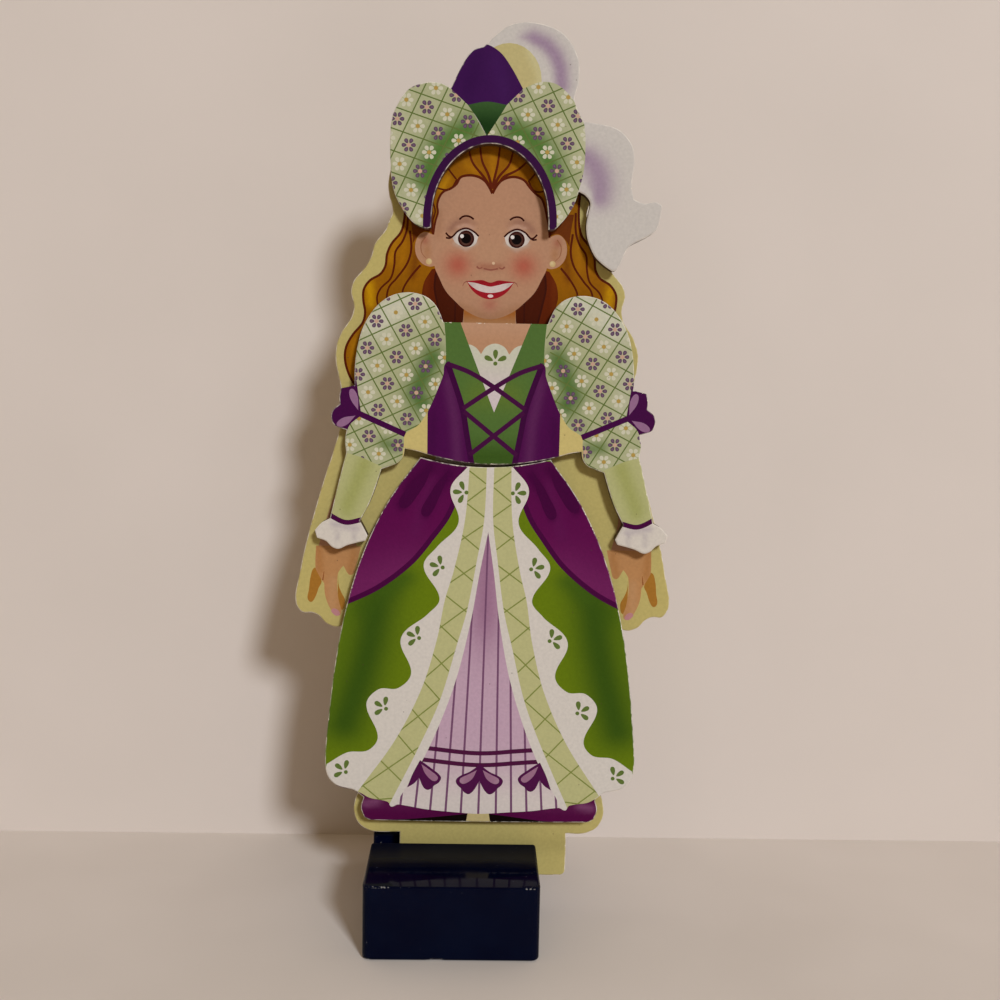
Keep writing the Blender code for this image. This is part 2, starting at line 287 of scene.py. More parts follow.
def area_of(loop):
    """Area within a loop, below 0 where it runs clockwise."""
    return sum(loop[i - 1].cross(point) for i, point in enumerate(loop)) / 2


# The outline of a board, read from its solid

def front_loop(node_name, middle):
    """Corners of a solid's front face in drawing millimetres, anticlockwise."""
    solid = bmesh.new()
    solid.from_mesh(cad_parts[node_name].data)
    bmesh.ops.remove_doubles(solid, verts=solid.verts, dist=WELD * MM)
    front = min(vert.co.y for vert in solid.verts)
    faces = [face for face in solid.faces if all(vert.co.y - front < SAME_DEPTH * MM for vert in face.verts)]
    members = set(faces)
    follow = {}
    for face in faces:
        for corner in face.loops:
            if len(members.intersection(corner.edge.link_faces)) == 1:
                follow[corner.vert] = corner.link_loop_next.vert
    start = next(iter(follow))
    chain = [start]
    while follow[chain[-1]] is not start:
        chain.append(follow[chain[-1]])
    loop = [Vector(((vert.co.x - middle) / MM, (vert.co.z - BASE_LINE) / MM)) for vert in chain]
    solid.free()
    return loop if area_of(loop) > 0 else loop[::-1]


def eased(loop):
    """The same loop with its curved stretches made smooth and its corners kept."""
    points = []
    for i, point in enumerate(loop):
        turn = (point - loop[i - 1]).angle(loop[(i + 1) % len(loop)] - point)
        points.append((*point, CORNER) if turn > CORNER_TURN else tuple(point))
    return shape(points)


def inset(loop, distance):
    """The loop moved inwards by a small distance."""
    moved = []
    for i, point in enumerate(loop):
        before = (point - loop[i - 1]).normalized()
        after = (loop[(i + 1) % len(loop)] - point).normalized()
        inward = Vector((-before.y - after.y, before.x + after.x))
        if inward.length < SAME_PLACE:
            inward = Vector((-before.y, before.x))
        inward.normalize()
        square = max(SHARPEST_MITRE, inward.dot(Vector((-before.y, before.x))))
        moved.append(point + inward * distance / square)
    return moved


def nearest_rim(loop):
    """A search tree of points along a loop, three to each stretch."""
    tree = KDTree(len(loop) * 3)
    for i, point in enumerate(loop):
        step = loop[(i + 1) % len(loop)] - point
        for third in range(3):
            tree.insert((*(point + step * third / 3), 0), i)
    tree.balance()
    return tree


def lattice(low, high, step):
    """Evenly spread points in a box, every other row shifted by half a step."""
    points = []
    for row in range(int((high.y - low.y) / step) + 1):
        for column in range(int((high.x - low.x) / step) + 1):
            points.append(Vector((low.x + (column + row % 2 / 2) * step, low.y + row * step)))
    return points


def reach_of(loop):
    """Lowest and highest corner of a loop."""
    low = Vector((min(point.x for point in loop), min(point.y for point in loop)))
    high = Vector((max(point.x for point in loop), max(point.y for point in loop)))
    return low, high


class PrintedSheet:
    """A pile of inked shapes on one board, pressed into a flat mesh with each face's topmost ink."""

    def __init__(self, node_name, ground, middle=FIGURE_MIDDLE, lean=0.0, upright=0.0, sag=0.0):
        self.node_name = node_name
        self.middle = middle
        self.lean = lean
        self.upright = upright
        self.sag = sag
        self.rim = eased(front_loop(node_name, middle))
        self.layers = [(self.rim, as_ink(ground), 0)]
        self.fine = []

    def leaned(self, point, way=1):
        """Where a drawn point lies on a print that sits askew; way -1 leads back to the drawing."""
        drop = self.sag * max(0.0, point.x - SAG_FROM)
        return Vector((point.x + way * self.lean * (point.y - self.upright), point.y - way * drop))

    def lay(self, loop, ink, within=0):
        """Lays a shape on top, cut to the shape within; returns its place in the pile."""
        placed = divided([self.leaned(point) for point in loop])
        self.layers.append((placed if area_of(placed) > 0 else placed[::-1], as_ink(ink), within))
        return len(self.layers) - 1

    def lay_pair(self, loop, ink, within=0):
        """Lays a shape and its mirror image, both cut to one shape within, or each to its own of a pair."""
        tint = as_ink(ink)
        near, far = within if isinstance(within, tuple) else (within, within)
        here = self.lay(loop, tint, near)
        there = self.lay(mirrored(loop), lambda point: tint(Vector((-point.x, point.y))), far)
        return here, there

    def strew(self, tree, places, sizes, inks, within=0):
        """Lays the motif that a Geometry Nodes tree draws at each place, given as (x, h, turn)."""
        seeds = bpy.data.meshes.new(tree.name)
        seeds.from_pydata([(x, h, 0) for x, h, _ in places], [], [])
        seeds.attributes.new("turn", "FLOAT", "POINT").data.foreach_set("value", [t for _, _, t in places])
        for part, loop in flat_faces(grown(tree, seeds, sizes)):
            self.lay(loop, inks[part], within)

    def chip(self, tree, wear, sizes):
        """Lays pale flakes along the rim, as often as wear(point) says."""
        seeds = bpy.data.meshes.new(tree.name)
        count = len(self.rim)
        round_trip = [(i, (i + 1) % count) for i in range(count)]
        seeds.from_pydata([(*point, 0) for point in self.rim], round_trip, [])
        odds = []
        for point in self.rim:
            patch = CHIP_SHARE + CHIP_CONTRAST * noise.noise((*(point / CHIP_PATCH), 0))
            odds.append(wear(self.leaned(point, -1)) * min(1.0, max(CHIP_LEAST, patch)))
        seeds.attributes.new("wear", "FLOAT", "POINT").data.foreach_set("value", odds)
        bare = dye(PAPER)
        for _, loop in flat_faces(grown(tree, seeds, sizes)):
            self.layers.append((loop if area_of(loop) > 0 else loop[::-1], bare, 0))

    def grid(self):
        """Points that carry the soft shading, closer together in the fine boxes."""
        points = lattice(*reach_of(self.rim), GRID_STEP)
        for low, high in self.fine:
            points += lattice(Vector(low), Vector(high), FINE_GRID_STEP)
        return points

    def press(self, name, material):
        """The finished print: a face with a pressed-down rim, its paper edge and its glued back."""
        points = []
        faces = []
        for loop, _, _ in self.layers:
            faces.append(list(range(len(points), len(points) + len(loop))))
            points += loop
        shoulder = inset(self.rim, RIM)
        first = len(points)
        points += shoulder
        ring = [(first + i, first + (i + 1) % len(shoulder)) for i in range(len(shoulder))]
        points += self.grid()
        spots, _, triangles, _, _, owners = delaunay_2d_cdt(points, ring, faces, 1, SAME_PLACE)
        low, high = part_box(self.node_name)
        rim_tree = nearest_rim(self.rim)
        sheet = bmesh.new()
        ink_layer = sheet.loops.layers.float_color.new("ink")
        edge_layer = sheet.verts.layers.float.new("edge")
        verts = []
        for spot in spots:
            edge = rim_tree.find((*spot, 0))[2]
            drop = RIM_DROP * max(0.0, 1 - edge / RIM)
            vert = sheet.verts.new((self.middle + spot.x * MM, low.y + drop * MM, BASE_LINE + spot.y * MM))
            vert[edge_layer] = edge
            verts.append(vert)
        for triangle, owner in zip(triangles, owners):
            if 0 not in owner:
                continue
            face = sheet.faces.new([verts[i] for i in triangle])
            top = max(i for i in owner if self.layers[i][2] in owner)
            ink = self.layers[top][1]
            for corner, i in zip(face.loops, triangle):
                corner[ink_layer] = (*ink(self.leaned(spots[i], -1)), 1.0)
        bmesh.ops.delete(sheet, geom=[vert for vert in verts if not vert.link_faces], context="VERTS")
        border = [edge for edge in sheet.edges if len(edge.link_faces) == 1]
        grown_edge = bmesh.ops.extrude_edge_only(sheet, edges=border)["geom"]
        for item in grown_edge:
            if isinstance(item, bmesh.types.BMVert):
                item.co.y = high.y
        back = [item for item in grown_edge if isinstance(item, bmesh.types.BMEdge)]
        bmesh.ops.triangle_fill(sheet, edges=back, use_beauty=True)
        paper = (*linear(PAPER_EDGE), 1.0)
        for face in sheet.faces:
            if all(corner[ink_layer][3] == 0 for corner in face.loops):
                for corner in face.loops:
                    corner[ink_layer] = paper
        return finished(name, sheet, material)


def finished(name, builder, material, crease=PRINT_CREASE):
    """An object at the origin from a bmesh, with outward faces and crisp edges."""
    builder.normal_update()
    bmesh.ops.recalc_face_normals(builder, faces=builder.faces)
    mesh = bpy.data.meshes.new(name)
    builder.to_mesh(mesh)
    builder.free()
    mesh.materials.append(material)
    return shown(name, mesh, crease)


def shown(name, mesh, crease):
    """Puts a mesh in the scene, smooth apart from its crisp edges."""
    mesh.shade_smooth()
    mesh.set_sharp_from_angle(angle=crease)
    piece = bpy.data.objects.new(name, mesh)
    scene.collection.objects.link(piece)
    return piece


# Node trees

# Settings that number the faces of a motif by the part of it that they belong to
PART_MARK = {"data_type": "INT", "domain": "FACE"}


def feed(tree, made, links):
    """Sets a node's inputs, each by a value, a hex colour, a socket, or a node for its first output."""
    for name, value in links.items():
        if isinstance(value, bpy.types.Node):
            value = value.outputs[0]
        if isinstance(value, bpy.types.NodeSocket):
            tree.links.new(value, made.inputs[name])
        elif isinstance(value, str) and value.startswith("#"):
            made.inputs[name].default_value = (*linear(value), 1)
        else:
            made.inputs[name].default_value = value


def node(tree, kind, links=None, **settings):
    """Adds a node: settings set its properties, links feed its inputs."""
    made = tree.nodes.new(kind)
    for name, value in settings.items():
        setattr(made, name, value)
    feed(tree, made, links or {})
    return made


def motif_tree(name, **sizes):
    """An empty Geometry Nodes tree with a named input for each size, and the sockets of those inputs."""
    kinds = {int: "NodeSocketInt", float: "NodeSocketFloat"}
    tree = bpy.data.node_groups.new(name, "GeometryNodeTree")
    tree.interface.new_socket("Geometry", in_out="INPUT", socket_type="NodeSocketGeometry")
    tree.interface.new_socket("Geometry", in_out="OUTPUT", socket_type="NodeSocketGeometry")
    for size, kind in sizes.items():
        tree.interface.new_socket(size, in_out="INPUT", socket_type=kinds[kind])
    return tree, node(tree, "NodeGroupInput").outputs


def realized(tree, instances, material):
    """Ends a tree: plain geometry with its material."""
    solid = node(tree, "GeometryNodeRealizeInstances", {"Geometry": instances})
    inked = node(tree, "GeometryNodeSetMaterial", {"Geometry": solid, "Material": material})
    node(tree, "NodeGroupOutput", {"Geometry": inked})


def grown(tree, seeds, sizes):
    """Runs a Geometry Nodes tree on a mesh of seed points; returns the result as a plain mesh."""
    holder = bpy.data.objects.new(tree.name, seeds)
    scene.collection.objects.link(holder)
    modifier = holder.modifiers.new(tree.name, "NODES")
    modifier.node_group = tree
    for item in tree.interface.items_tree:
        if item.name in sizes:
            modifier[item.identifier] = sizes[item.name]
    depsgraph = bpy.context.evaluated_depsgraph_get()
    result = holder.evaluated_get(depsgraph)
    mesh = bpy.data.meshes.new_from_object(result, preserve_all_data_layers=True, depsgraph=depsgraph)
    holder.modifiers.remove(modifier)
    bpy.data.objects.remove(holder)
    return mesh


def flat_faces(mesh):
    """Each face of a flat mesh as (part number, loop)."""
    parts = [item.value for item in mesh.attributes["part"].data]
    corners = [vert.co.to_2d() for vert in mesh.vertices]
    return [(parts[face.index], [corners[i] for i in face.vertices]) for face in mesh.polygons]


def flower_tree(material):
    """Petals spread round a dot: a daisy where they go all the way round, or a sprig."""
    tree, size = motif_tree("flower", Petals=int, Spread=float, Reach=float, Length=float, Width=float,
                            Taper=float, Eye=float, Stem=float)
    petal = node(tree, "GeometryNodeMeshCircle", {"Vertices": PETAL_SIDES, "Radius": 0.5}, fill_type="NGON")
    petal = node(tree, "GeometryNodeStoreNamedAttribute", {"Geometry": petal, "Name": "part", "Value": 0},
                 **PART_MARK)
    spot = node(tree, "ShaderNodeSeparateXYZ", {0: node(tree, "GeometryNodeInputPosition")}).outputs
    swell = node(tree, "ShaderNodeMath", {0: spot["X"], 1: size["Taper"], 2: 1.0}, operation="MULTIPLY_ADD")
    girth = node(tree, "ShaderNodeMath", {0: swell, 1: size["Width"]}, operation="MULTIPLY")
    across = node(tree, "ShaderNodeMath", {0: spot["Y"], 1: girth}, operation="MULTIPLY")
    along = node(tree, "ShaderNodeMath", {0: spot["X"], 1: size["Length"]}, operation="MULTIPLY")
    form = node(tree, "ShaderNodeCombineXYZ", {"X": along, "Y": across})
    petal = node(tree, "GeometryNodeSetPosition", {"Geometry": petal, "Position": form})
    ring = node(tree, "GeometryNodeMeshLine", {"Count": size["Petals"]})
    first = node(tree, "ShaderNodeMath", {0: size["Petals"], 1: -0.5, 2: 0.5}, operation="MULTIPLY_ADD")
    place = node(tree, "ShaderNodeMath", {0: node(tree, "GeometryNodeInputIndex"), 1: first}, operation="ADD")
    angle = node(tree, "ShaderNodeMath", {0: place, 1: size["Spread"], 2: math.pi / 2},
                 operation="MULTIPLY_ADD")
    cosine = node(tree, "ShaderNodeMath", {0: angle}, operation="COSINE")
    sine = node(tree, "ShaderNodeMath", {0: angle}, operation="SINE")
    ray = node(tree, "ShaderNodeCombineXYZ", {"X": cosine, "Y": sine})
    spoke = node(tree, "ShaderNodeVectorMath", {0: ray, "Scale": size["Reach"]}, operation="SCALE")
    ring = node(tree, "GeometryNodeSetPosition", {"Geometry": ring, "Position": spoke})
    turn = node(tree, "FunctionNodeAxisAngleToRotation", {"Axis": (0, 0, 1), "Angle": angle})
    petals = node(tree, "GeometryNodeInstanceOnPoints", {"Points": ring, "Instance": petal, "Rotation": turn})
    eye = node(tree, "GeometryNodeMeshCircle", {"Vertices": PETAL_SIDES, "Radius": size["Eye"]},
               fill_type="NGON")
    eye = node(tree, "GeometryNodeStoreNamedAttribute", {"Geometry": eye, "Name": "part", "Value": 1},
               **PART_MARK)
    drop = node(tree, "ShaderNodeCombineXYZ", {"Y": size["Stem"]})
    eye = node(tree, "GeometryNodeTransform", {"Geometry": eye, "Translation": drop})
    flower = node(tree, "GeometryNodeJoinGeometry", {"Geometry": eye})
    feed(tree, flower, {"Geometry": petals})
    way = node(tree, "GeometryNodeInputNamedAttribute", {"Name": "turn"})
    turn = node(tree, "FunctionNodeAxisAngleToRotation", {"Axis": (0, 0, 1), "Angle": way})
    field = node(tree, "GeometryNodeInstanceOnPoints",
                 {"Points": size["Geometry"], "Instance": flower, "Rotation": turn})
    realized(tree, field, material)
    return tree


def chip_tree(material):
    """Ragged flakes along a rim, where a random draw falls under the rim's wear."""
    tree, size = motif_tree("rim_chips", Long=float, Deep=float, Seed=int, GirthSeed=int)
    rim = node(tree, "GeometryNodeMeshToCurve", {"Mesh": size["Geometry"]})
    spots = node(tree, "GeometryNodeCurveToPoints", {"Curve": rim, "Length": CHIP_SPACING}, mode="LENGTH")
    draw = node(tree, "FunctionNodeRandomValue", {"Seed": size["Seed"]}).outputs[1]
    odds = node(tree, "GeometryNodeInputNamedAttribute", {"Name": "wear"})
    sound = node(tree, "FunctionNodeCompare", {0: draw, 1: odds})
    kept = node(tree, "GeometryNodeDeleteGeometry", {"Geometry": spots, "Selection": sound})
    flake = node(tree, "GeometryNodeMeshCircle", {"Vertices": FLAKE_SIDES, "Radius": 0.5}, fill_type="NGON")
    flake = node(tree, "GeometryNodeStoreNamedAttribute", {"Geometry": flake, "Name": "part", "Value": 0},
                 **PART_MARK)
    stray = Vector((FLAKE_STRAY, FLAKE_STRAY, 0))
    ragged = node(tree, "FunctionNodeRandomValue", {0: -stray, 1: stray, "Seed": size["Seed"]},
                  data_type="FLOAT_VECTOR")
    flake = node(tree, "GeometryNodeSetPosition", {"Geometry": flake, "Offset": ragged})
    along = node(tree, "ShaderNodeSeparateXYZ", {0: spots.outputs["Tangent"]}).outputs
    slope = node(tree, "ShaderNodeMath", {0: along["Y"], 1: along["X"]}, operation="ARCTAN2")
    turn = node(tree, "FunctionNodeAxisAngleToRotation", {"Axis": (0, 0, 1), "Angle": slope})
    full = node(tree, "ShaderNodeCombineXYZ", {"X": size["Long"], "Y": size["Deep"], "Z": 1.0})
    share = node(tree, "FunctionNodeRandomValue", {0: FLAKE_LEAST, 1: (1, 1, 1), "Seed": size["GirthSeed"]},
                 data_type="FLOAT_VECTOR")
    uneven = node(tree, "ShaderNodeVectorMath", {0: share, 1: share}, operation="MULTIPLY")
    girth = node(tree, "ShaderNodeVectorMath", {0: full, 1: uneven}, operation="MULTIPLY")
    field = node(tree, "GeometryNodeInstanceOnPoints",
                 {"Points": kept, "Instance": flake, "Rotation": turn, "Scale": girth})
    realized(tree, field, material)
    return tree


def magnet_tree(material):
    """Flat discs with chamfered rims, facing backwards at each seed point."""
    tree, size = motif_tree("disc_magnets", Radius=float, Thickness=float, Chamfer=float)
    flat = node(tree, "ShaderNodeMath", {0: size["Radius"], 1: size["Chamfer"]}, operation="SUBTRACT")
    grow = node(tree, "ShaderNodeMath", {0: size["Radius"], 1: flat}, operation="DIVIDE")
    shrink = node(tree, "ShaderNodeMath", {0: flat, 1: size["Radius"]}, operation="DIVIDE")
    straight = node(tree, "ShaderNodeMath", {0: size["Chamfer"], 1: -2.0, 2: size["Thickness"]},
                    operation="MULTIPLY_ADD")
    base = node(tree, "GeometryNodeMeshCircle", {"Vertices": POCKET_SIDES, "Radius": flat}, fill_type="NGON")
    disc = base
    top = True
    for rise, scale in ((size["Chamfer"], grow), (straight, 1.0), (size["Chamfer"], shrink)):
        step = node(tree, "GeometryNodeExtrudeMesh",
                    {"Mesh": disc, "Selection": top, "Offset Scale": rise, "Individual": False})
        top = step.outputs["Top"]
        disc = node(tree, "GeometryNodeScaleElements", {"Geometry": step, "Selection": top, "Scale": scale})
    under = node(tree, "GeometryNodeFlipFaces", {"Mesh": base})
    both = node(tree, "GeometryNodeJoinGeometry", {"Geometry": disc})
    feed(tree, both, {"Geometry": under})
    whole = node(tree, "GeometryNodeMergeByDistance", {"Geometry": both, "Distance": WELD * MM})
    facing = node(tree, "GeometryNodeTransform", {"Geometry": whole, "Rotation": (math.pi / 2, 0, 0)})
    field = node(tree, "GeometryNodeInstanceOnPoints", {"Points": size["Geometry"], "Instance": facing})
    realized(tree, field, material)
    return tree


# Trellis cloth of the hat and the sleeves

TRELLIS_SPAN = 7             # cells on either side of the first
TRELLIS_LINE = 0.34
TRELLIS_INK = "#5E6C36"
DAISY = {"Petals": 6, "Spread": math.tau / 6, "Reach": 1.2, "Length": 1.3, "Width": 1.02, "Taper": 0.5,
         "Eye": 0.55}
PETAL_HEART = {**DAISY, "Reach": 1.3, "Length": 0.62, "Width": 0.42, "Eye": 0.5}
PURPLE_DAISY = "#5B4456", "#B58D78"
PURPLE_HEART = "#6B5468", "#BC9882"
WHITE_DAISY = "#C2BDA4", "#A88A46"
SPRIG = {"Petals": 3, "Spread": math.radians(66), "Reach": 1.9, "Length": 2.5, "Width": 1.25, "Taper": 0.8,
         "Eye": 0.55, "Stem": -0.5}
SPRIG_INKS = SPRIG_GREEN, SPRIG_GREEN


def trellis(sheet, flowers, zone, start, across, down):
    """Crossing lines with a daisy in each cell, purple and white by turns."""
    origin = Vector(start)
    u = Vector(across)
    v = Vector(down)
    low, high = reach_of(sheet.layers[zone][0])
    cells = [i / 2 for i in range(-2 * TRELLIS_SPAN, 2 * TRELLIS_SPAN + 1)]

    def inside(place):
        return low.x < place.x < high.x and low.y < place.y < high.y

    for i in cells[1::2]:
        for step, other in ((u, v), (v, u)):
            line = [origin + step * i + other * j for j in cells]
            kept = [place for place in line if inside(place)]
            if len(kept) > 1:
                sheet.lay(stroke([(*kept[0], CORNER), (*kept[-1], CORNER)], TRELLIS_LINE), TRELLIS_INK, zone)
    places = ([], [])
    for i in cells[::2]:
        for j in cells[::2]:
            place = origin + u * i + v * j
            if inside(place):
                places[int(i + j) % 2].append((*place, 0.0))
    sheet.strew(flowers, places[0], DAISY, PURPLE_DAISY, zone)
    sheet.strew(flowers, places[0], PETAL_HEART, PURPLE_HEART, zone)
    sheet.strew(flowers, places[1], DAISY, WHITE_DAISY, zone)


# Hat

ARCH_HALF = 15.25
ARCH_SPRING = 166.0
ARCH_RISE = 19.5
BAND_WIDTH = 2.1
ARCH_STEPS = 60
ARCH_FOOT = 150.0            # below the lower end of the hat
ARCH_RIM = 0.6               # how far from the arch the rim counts as the arch's


def arch(grow):
    """The hat's arch, widened by grow, from its left foot over to its right foot."""
    wide = ARCH_HALF + grow
    rise = ARCH_RISE + grow
    turns = [math.pi * i / ARCH_STEPS for i in range(ARCH_STEPS + 1)]
    over = [Vector((-wide * math.cos(turn), ARCH_SPRING + rise * math.sin(turn))) for turn in turns]
    return [Vector((-wide, ARCH_FOOT))] + over + [Vector((wide, ARCH_FOOT))]


def hat_print(flowers, chips):
    """The hat: a plume, a cap, two trellis lobes and a band round the arch."""
    lilac = "#947C8F"
    white = "#BFB7AE"
    plume = dye(white, ([(7.8, 212.2), (10.2, 211.6)], (1.6, 1.1), lilac, 0.5),
                ([(10.4, 211.8), (13.5, 210.5), (15.9, 208), (17.3, 204.8), (17.7, 200.5)], (2.8, 2.8),
                 lilac, 1.0),
                ([(8.3, 209.8), (10.9, 208), (12.7, 205.7), (13.9, 203), (14.4, 200.4)], (1.6, 1.6), white,
                 1.0),
                ([(24.4, 182.6), (26.6, 180.8), (28, 178), (28.4, 175), (28, 172.4)], (4.6, 3.6), lilac,
                 0.92),
                ([(23.2, 175.6), (25.2, 173.4), (26, 170)], (1.3, 1.3), white, 1.0))
    sheet = PrintedSheet("hat_print", plume)
    sheet.lay(ellipse((4.3, 201.5), 8.3, 9.1),
              dye("#B4A672", ([(11.6, 197), (12.3, 203), (9.5, 208.6)], (1.4, 1.4), "#C2B98C", 0.6)))
    ground = dye(PALE_GREEN,
                 ([(6, 188.9), (9.2, 187.4), (12.6, 184.8), (15.2, 180.6), (16.7, 175.4)], (4.8, 4.8),
                  "#4E7030", 1.0),
                 ([(25, 200), (25, 186)], (4, 6), "#B7B493", 0.6),
                 ([(20, 170), (20, 164)], (4, 4), "#BAB695", 0.7))
    left = sheet.lay(shape([(-10.8, 199.1, CORNER), (-6.2, 195), (-1.2, 187.3, CORNER), (-1.2, 178, CORNER),
                            (-15, 158, CORNER), (-45, 158, CORNER), (-45, 206, CORNER), (-13, 206, CORNER)]),
                     twinned(ground))
    right = sheet.lay(shape([(7.9, 199.3, CORNER), (11.2, 200.8), (14.2, 201.2), (17.3, 200.2), (21, 196.6),
                             (23.7, 191.4), (24.3, 183.5), (23.8, 177.8), (22.7, 173.7, CORNER),
                             (26, 158, CORNER), (14, 158, CORNER), (-1.2, 178, CORNER), (-1.2, 187.3, CORNER),
                             (3.8, 195.2)]), ground)
    trellis(sheet, flowers, left, (-16.7, 194.2), (5.27, -1.7), (-2.27, -4.8))
    trellis(sheet, flowers, right, (14.4, 195.2), (-5.13, -2.3), (2.6, -4.65))
    cap = dye("#380F46", ([(-6, 199), (-4, 206)], (2.5, 4), "#310A3F", 0.6),
              ([(3, 199), (1, 205)], (2, 4), "#3D154E", 0.6))
    sheet.lay(shape([(-10.8, 199.1, CORNER), (-7.9, 204.8), (-4.6, 208.9), (-2.2, 210.2), (1.8, 208.3),
                     (4.9, 204.4), (7.9, 199.3, CORNER), (3.8, 195.2, CORNER), (-1.2, 195.9),
                     (-6.2, 195, CORNER)]), cap)
    fan = graded((-1.2, 196), "#38552A", (-1.2, 190.5), "#17330F")
    sheet.lay(shape([(-6.2, 195, CORNER), (-1.2, 195.9), (3.8, 195.2, CORNER), (1.4, 191.3),
                     (-1.2, 187.3, CORNER), (-3.5, 191.3)]), fan)
    sheet.lay(arch(BAND_WIDTH), "#330E38")

    def wear(point):
        in_arch = abs(point.x) < ARCH_HALF + ARCH_RIM and point.y < ARCH_SPRING + ARCH_RISE + ARCH_RIM
        return 0.16 if in_arch else 0.05
    sheet.chip(chips, wear, {"Long": 1.1, "Deep": 0.5, "Seed": 11, "GirthSeed": 12})
    return sheet


# Dress top

SLEEVE_EDGE = [(13.4, 139.6, CORNER), (12.95, 134), (12.95, 129), (13.5, 126), (14.6, 123), (16.4, 118.5),
               (17.5, 116.2, CORNER)]
ARMPIT_EDGE = [(19.8, 112.8), (22.6, 111), (23.7, 110.2, CORNER), (23.6, 108.2), (24.0, 104, CORNER)]


def top_print(flowers, chips):
    """The dress top: a laced bodice, trellis sleeves with bows, and cuffs."""
    sheet = PrintedSheet("top_print",
                         twinned(dye("#ABA975", ([(34, 102), (38.4, 91)], (2.8, 4), "#98995A", 0.95))),
                         TOP_MIDDLE)
    cloth = dye(PALE_GREEN,
                ([(16.4, 130.5), (18.3, 126.8), (20.6, 121), (19, 118.6)], (4.2, 4.2), WASH_GREEN, 1.0),
                ([(25.6, 107.2), (28.6, 107.6)], (2.4, 2.4), WASH_GREEN, 0.75),
                ([(22.6, 113)], (2.6, 2.2), WASH_GREEN, 0.4),
                ([(21, 146), (26, 144), (31.5, 139)], (6, 5), "#C2BEA8", 0.9),
                ([(35, 130), (33.6, 118)], (3, 5), "#B3B096", 0.7))
    sleeves = sheet.lay_pair(shape([(13.4, 150, CORNER)] + SLEEVE_EDGE + ARMPIT_EDGE
                                   + [(27.5, 100.5, CORNER), (31, 102.3), (35.5, 104.2),
                                      (39.6, 105.2, CORNER), (50, 105, CORNER), (50, 150, CORNER)]), cloth)
    trellis(sheet, flowers, sleeves[1], (-25.8, 130.4), (5.0, 2.35), (2.65, -4.6))
    trellis(sheet, flowers, sleeves[0], (25.7, 129.6), (4.95, -2.55), (-2.8, -4.53))
    sheet.lay_pair(shape([(17.4, 117, CORNER), (17.5, 116.2, CORNER)] + ARMPIT_EDGE
                         + [(24, 100, CORNER), (17, 100, CORNER)]), "#C0AD6D")
    bodice = sheet.lay(balanced([(13.4, 150, CORNER)] + SLEEVE_EDGE + [(17.4, 100, CORNER)]),
                       dye("#4D6830", ([(-4, 121), (4, 121)], (5, 5), "#5B6F2B", 0.8),
                           ([(-6, 104.5), (6, 104.5)], (5, 5), "#354F17", 0.9)))
    panel_inner = [(11.9, 127.7), (8.4, 117.5), (7.1, 110.6), (5.85, 103.6), (5.2, 100)]
    sheet.lay_pair(shape(SLEEVE_EDGE[2:] + [(17.4, 100, CORNER)] + [(*panel_inner[-1], CORNER)]
                         + panel_inner[-2:0:-1] + [(*panel_inner[0], CORNER)]),
                   dye("#470A42", ([(12.2, 124), (10.2, 114), (9.4, 103)], (1.7, 3), "#582350", 0.85),
                       ([(16, 114), (16.2, 104)], (1.4, 3), "#3F083B", 0.7)))
    sheet.lay_pair(stroke([(12.6, 129.3)] + panel_inner, 1.5), "#3A0836", bodice)
    vee = sheet.lay(balanced([(9.1, 150, CORNER), (9.1, 139.4, CORNER), (0, 116.4, CORNER)]),
                    graded((0, 139.5), "#B48A6C", (0, 135), "#AE8262"))
    sheet.lay(balanced([(0, 134.4), (2.4, 133.5), (3.7, 131.6, CORNER), (5, 133.2), (6.6, 134),
                        (9, 134, CORNER), (9, 116, CORNER), (0, 116, CORNER)]),
              graded((0, 131), "#BEBBA6", (0, 122), "#C5B6B4"), vee)
    sheet.strew(flowers, [(0.1, 129.7, 0.0)], SPRIG, SPRIG_INKS, vee)
    lace = "#410E39"
    sheet.lay_pair(stroke([(12.7, 129), (6.4, 126.7), (0, 122.9), (-8.2, 117.3)], 1.25), lace, bodice)
    sheet.lay_pair(stroke([(7.9, 116.5, CORNER), (-6.3, 105.1, CORNER)], 1.25), lace, bodice)
    sheet.lay_pair(shape([(35.0, 115.9, CORNER), (36.2, 124, CORNER), (47, 124, CORNER), (47, 108, CORNER),
                          (39.2, 108.9, CORNER), (37.9, 112.4), (35.4, 114.6, CORNER)]), LINE_PURPLE)
    sheet.lay_pair(stroke([(36.0, 115.7, CORNER), (23.3, 110.2, CORNER)], 1.5), LINE_PURPLE)
    sheet.lay_pair(leaf((35.7, 116.3), (37.6, 121.9), 2.0), LAVENDER)
    sheet.lay_pair(leaf((36.4, 114.9), (41.3, 112.2), 2.1), LAVENDER)
    wrist = [(43.5, 88.7), (38.9, 86.6), (34.4, 87.4)]
    sheet.lay_pair(shape([(50, 91, CORNER)] + wrist + [(28, 88, CORNER), (28, 74, CORNER), (50, 74, CORNER)]),
                   dye("#CAC0B3", ([(36, 85.2), (42, 86)], (1.2, 1.1), "#A0939A", 0.6),
                       ([(36.6, 84), (36.4, 82)], (0.7, 0.8), "#A89D9C", 0.6),
                       ([(40.9, 84), (41.1, 82)], (0.7, 0.8), "#A89D9C", 0.6)))
    sheet.lay_pair(stroke(wrist, 1.3), "#420A38")

    # Along the neckline the flakes are also a painted highlight of its top edge
    def wear(point):
        waist = point.y < 106.5 and abs(point.x) < 18
        neckline_wear_and_highlight = point.y > 138.5 and abs(point.x) < 14
        return 0.5 if waist else 0.6 if neckline_wear_and_highlight else 0.08
    sheet.chip(chips, wear, {"Long": 1.3, "Deep": 0.5, "Seed": 23, "GirthSeed": 24})
    return sheet


# Skirt

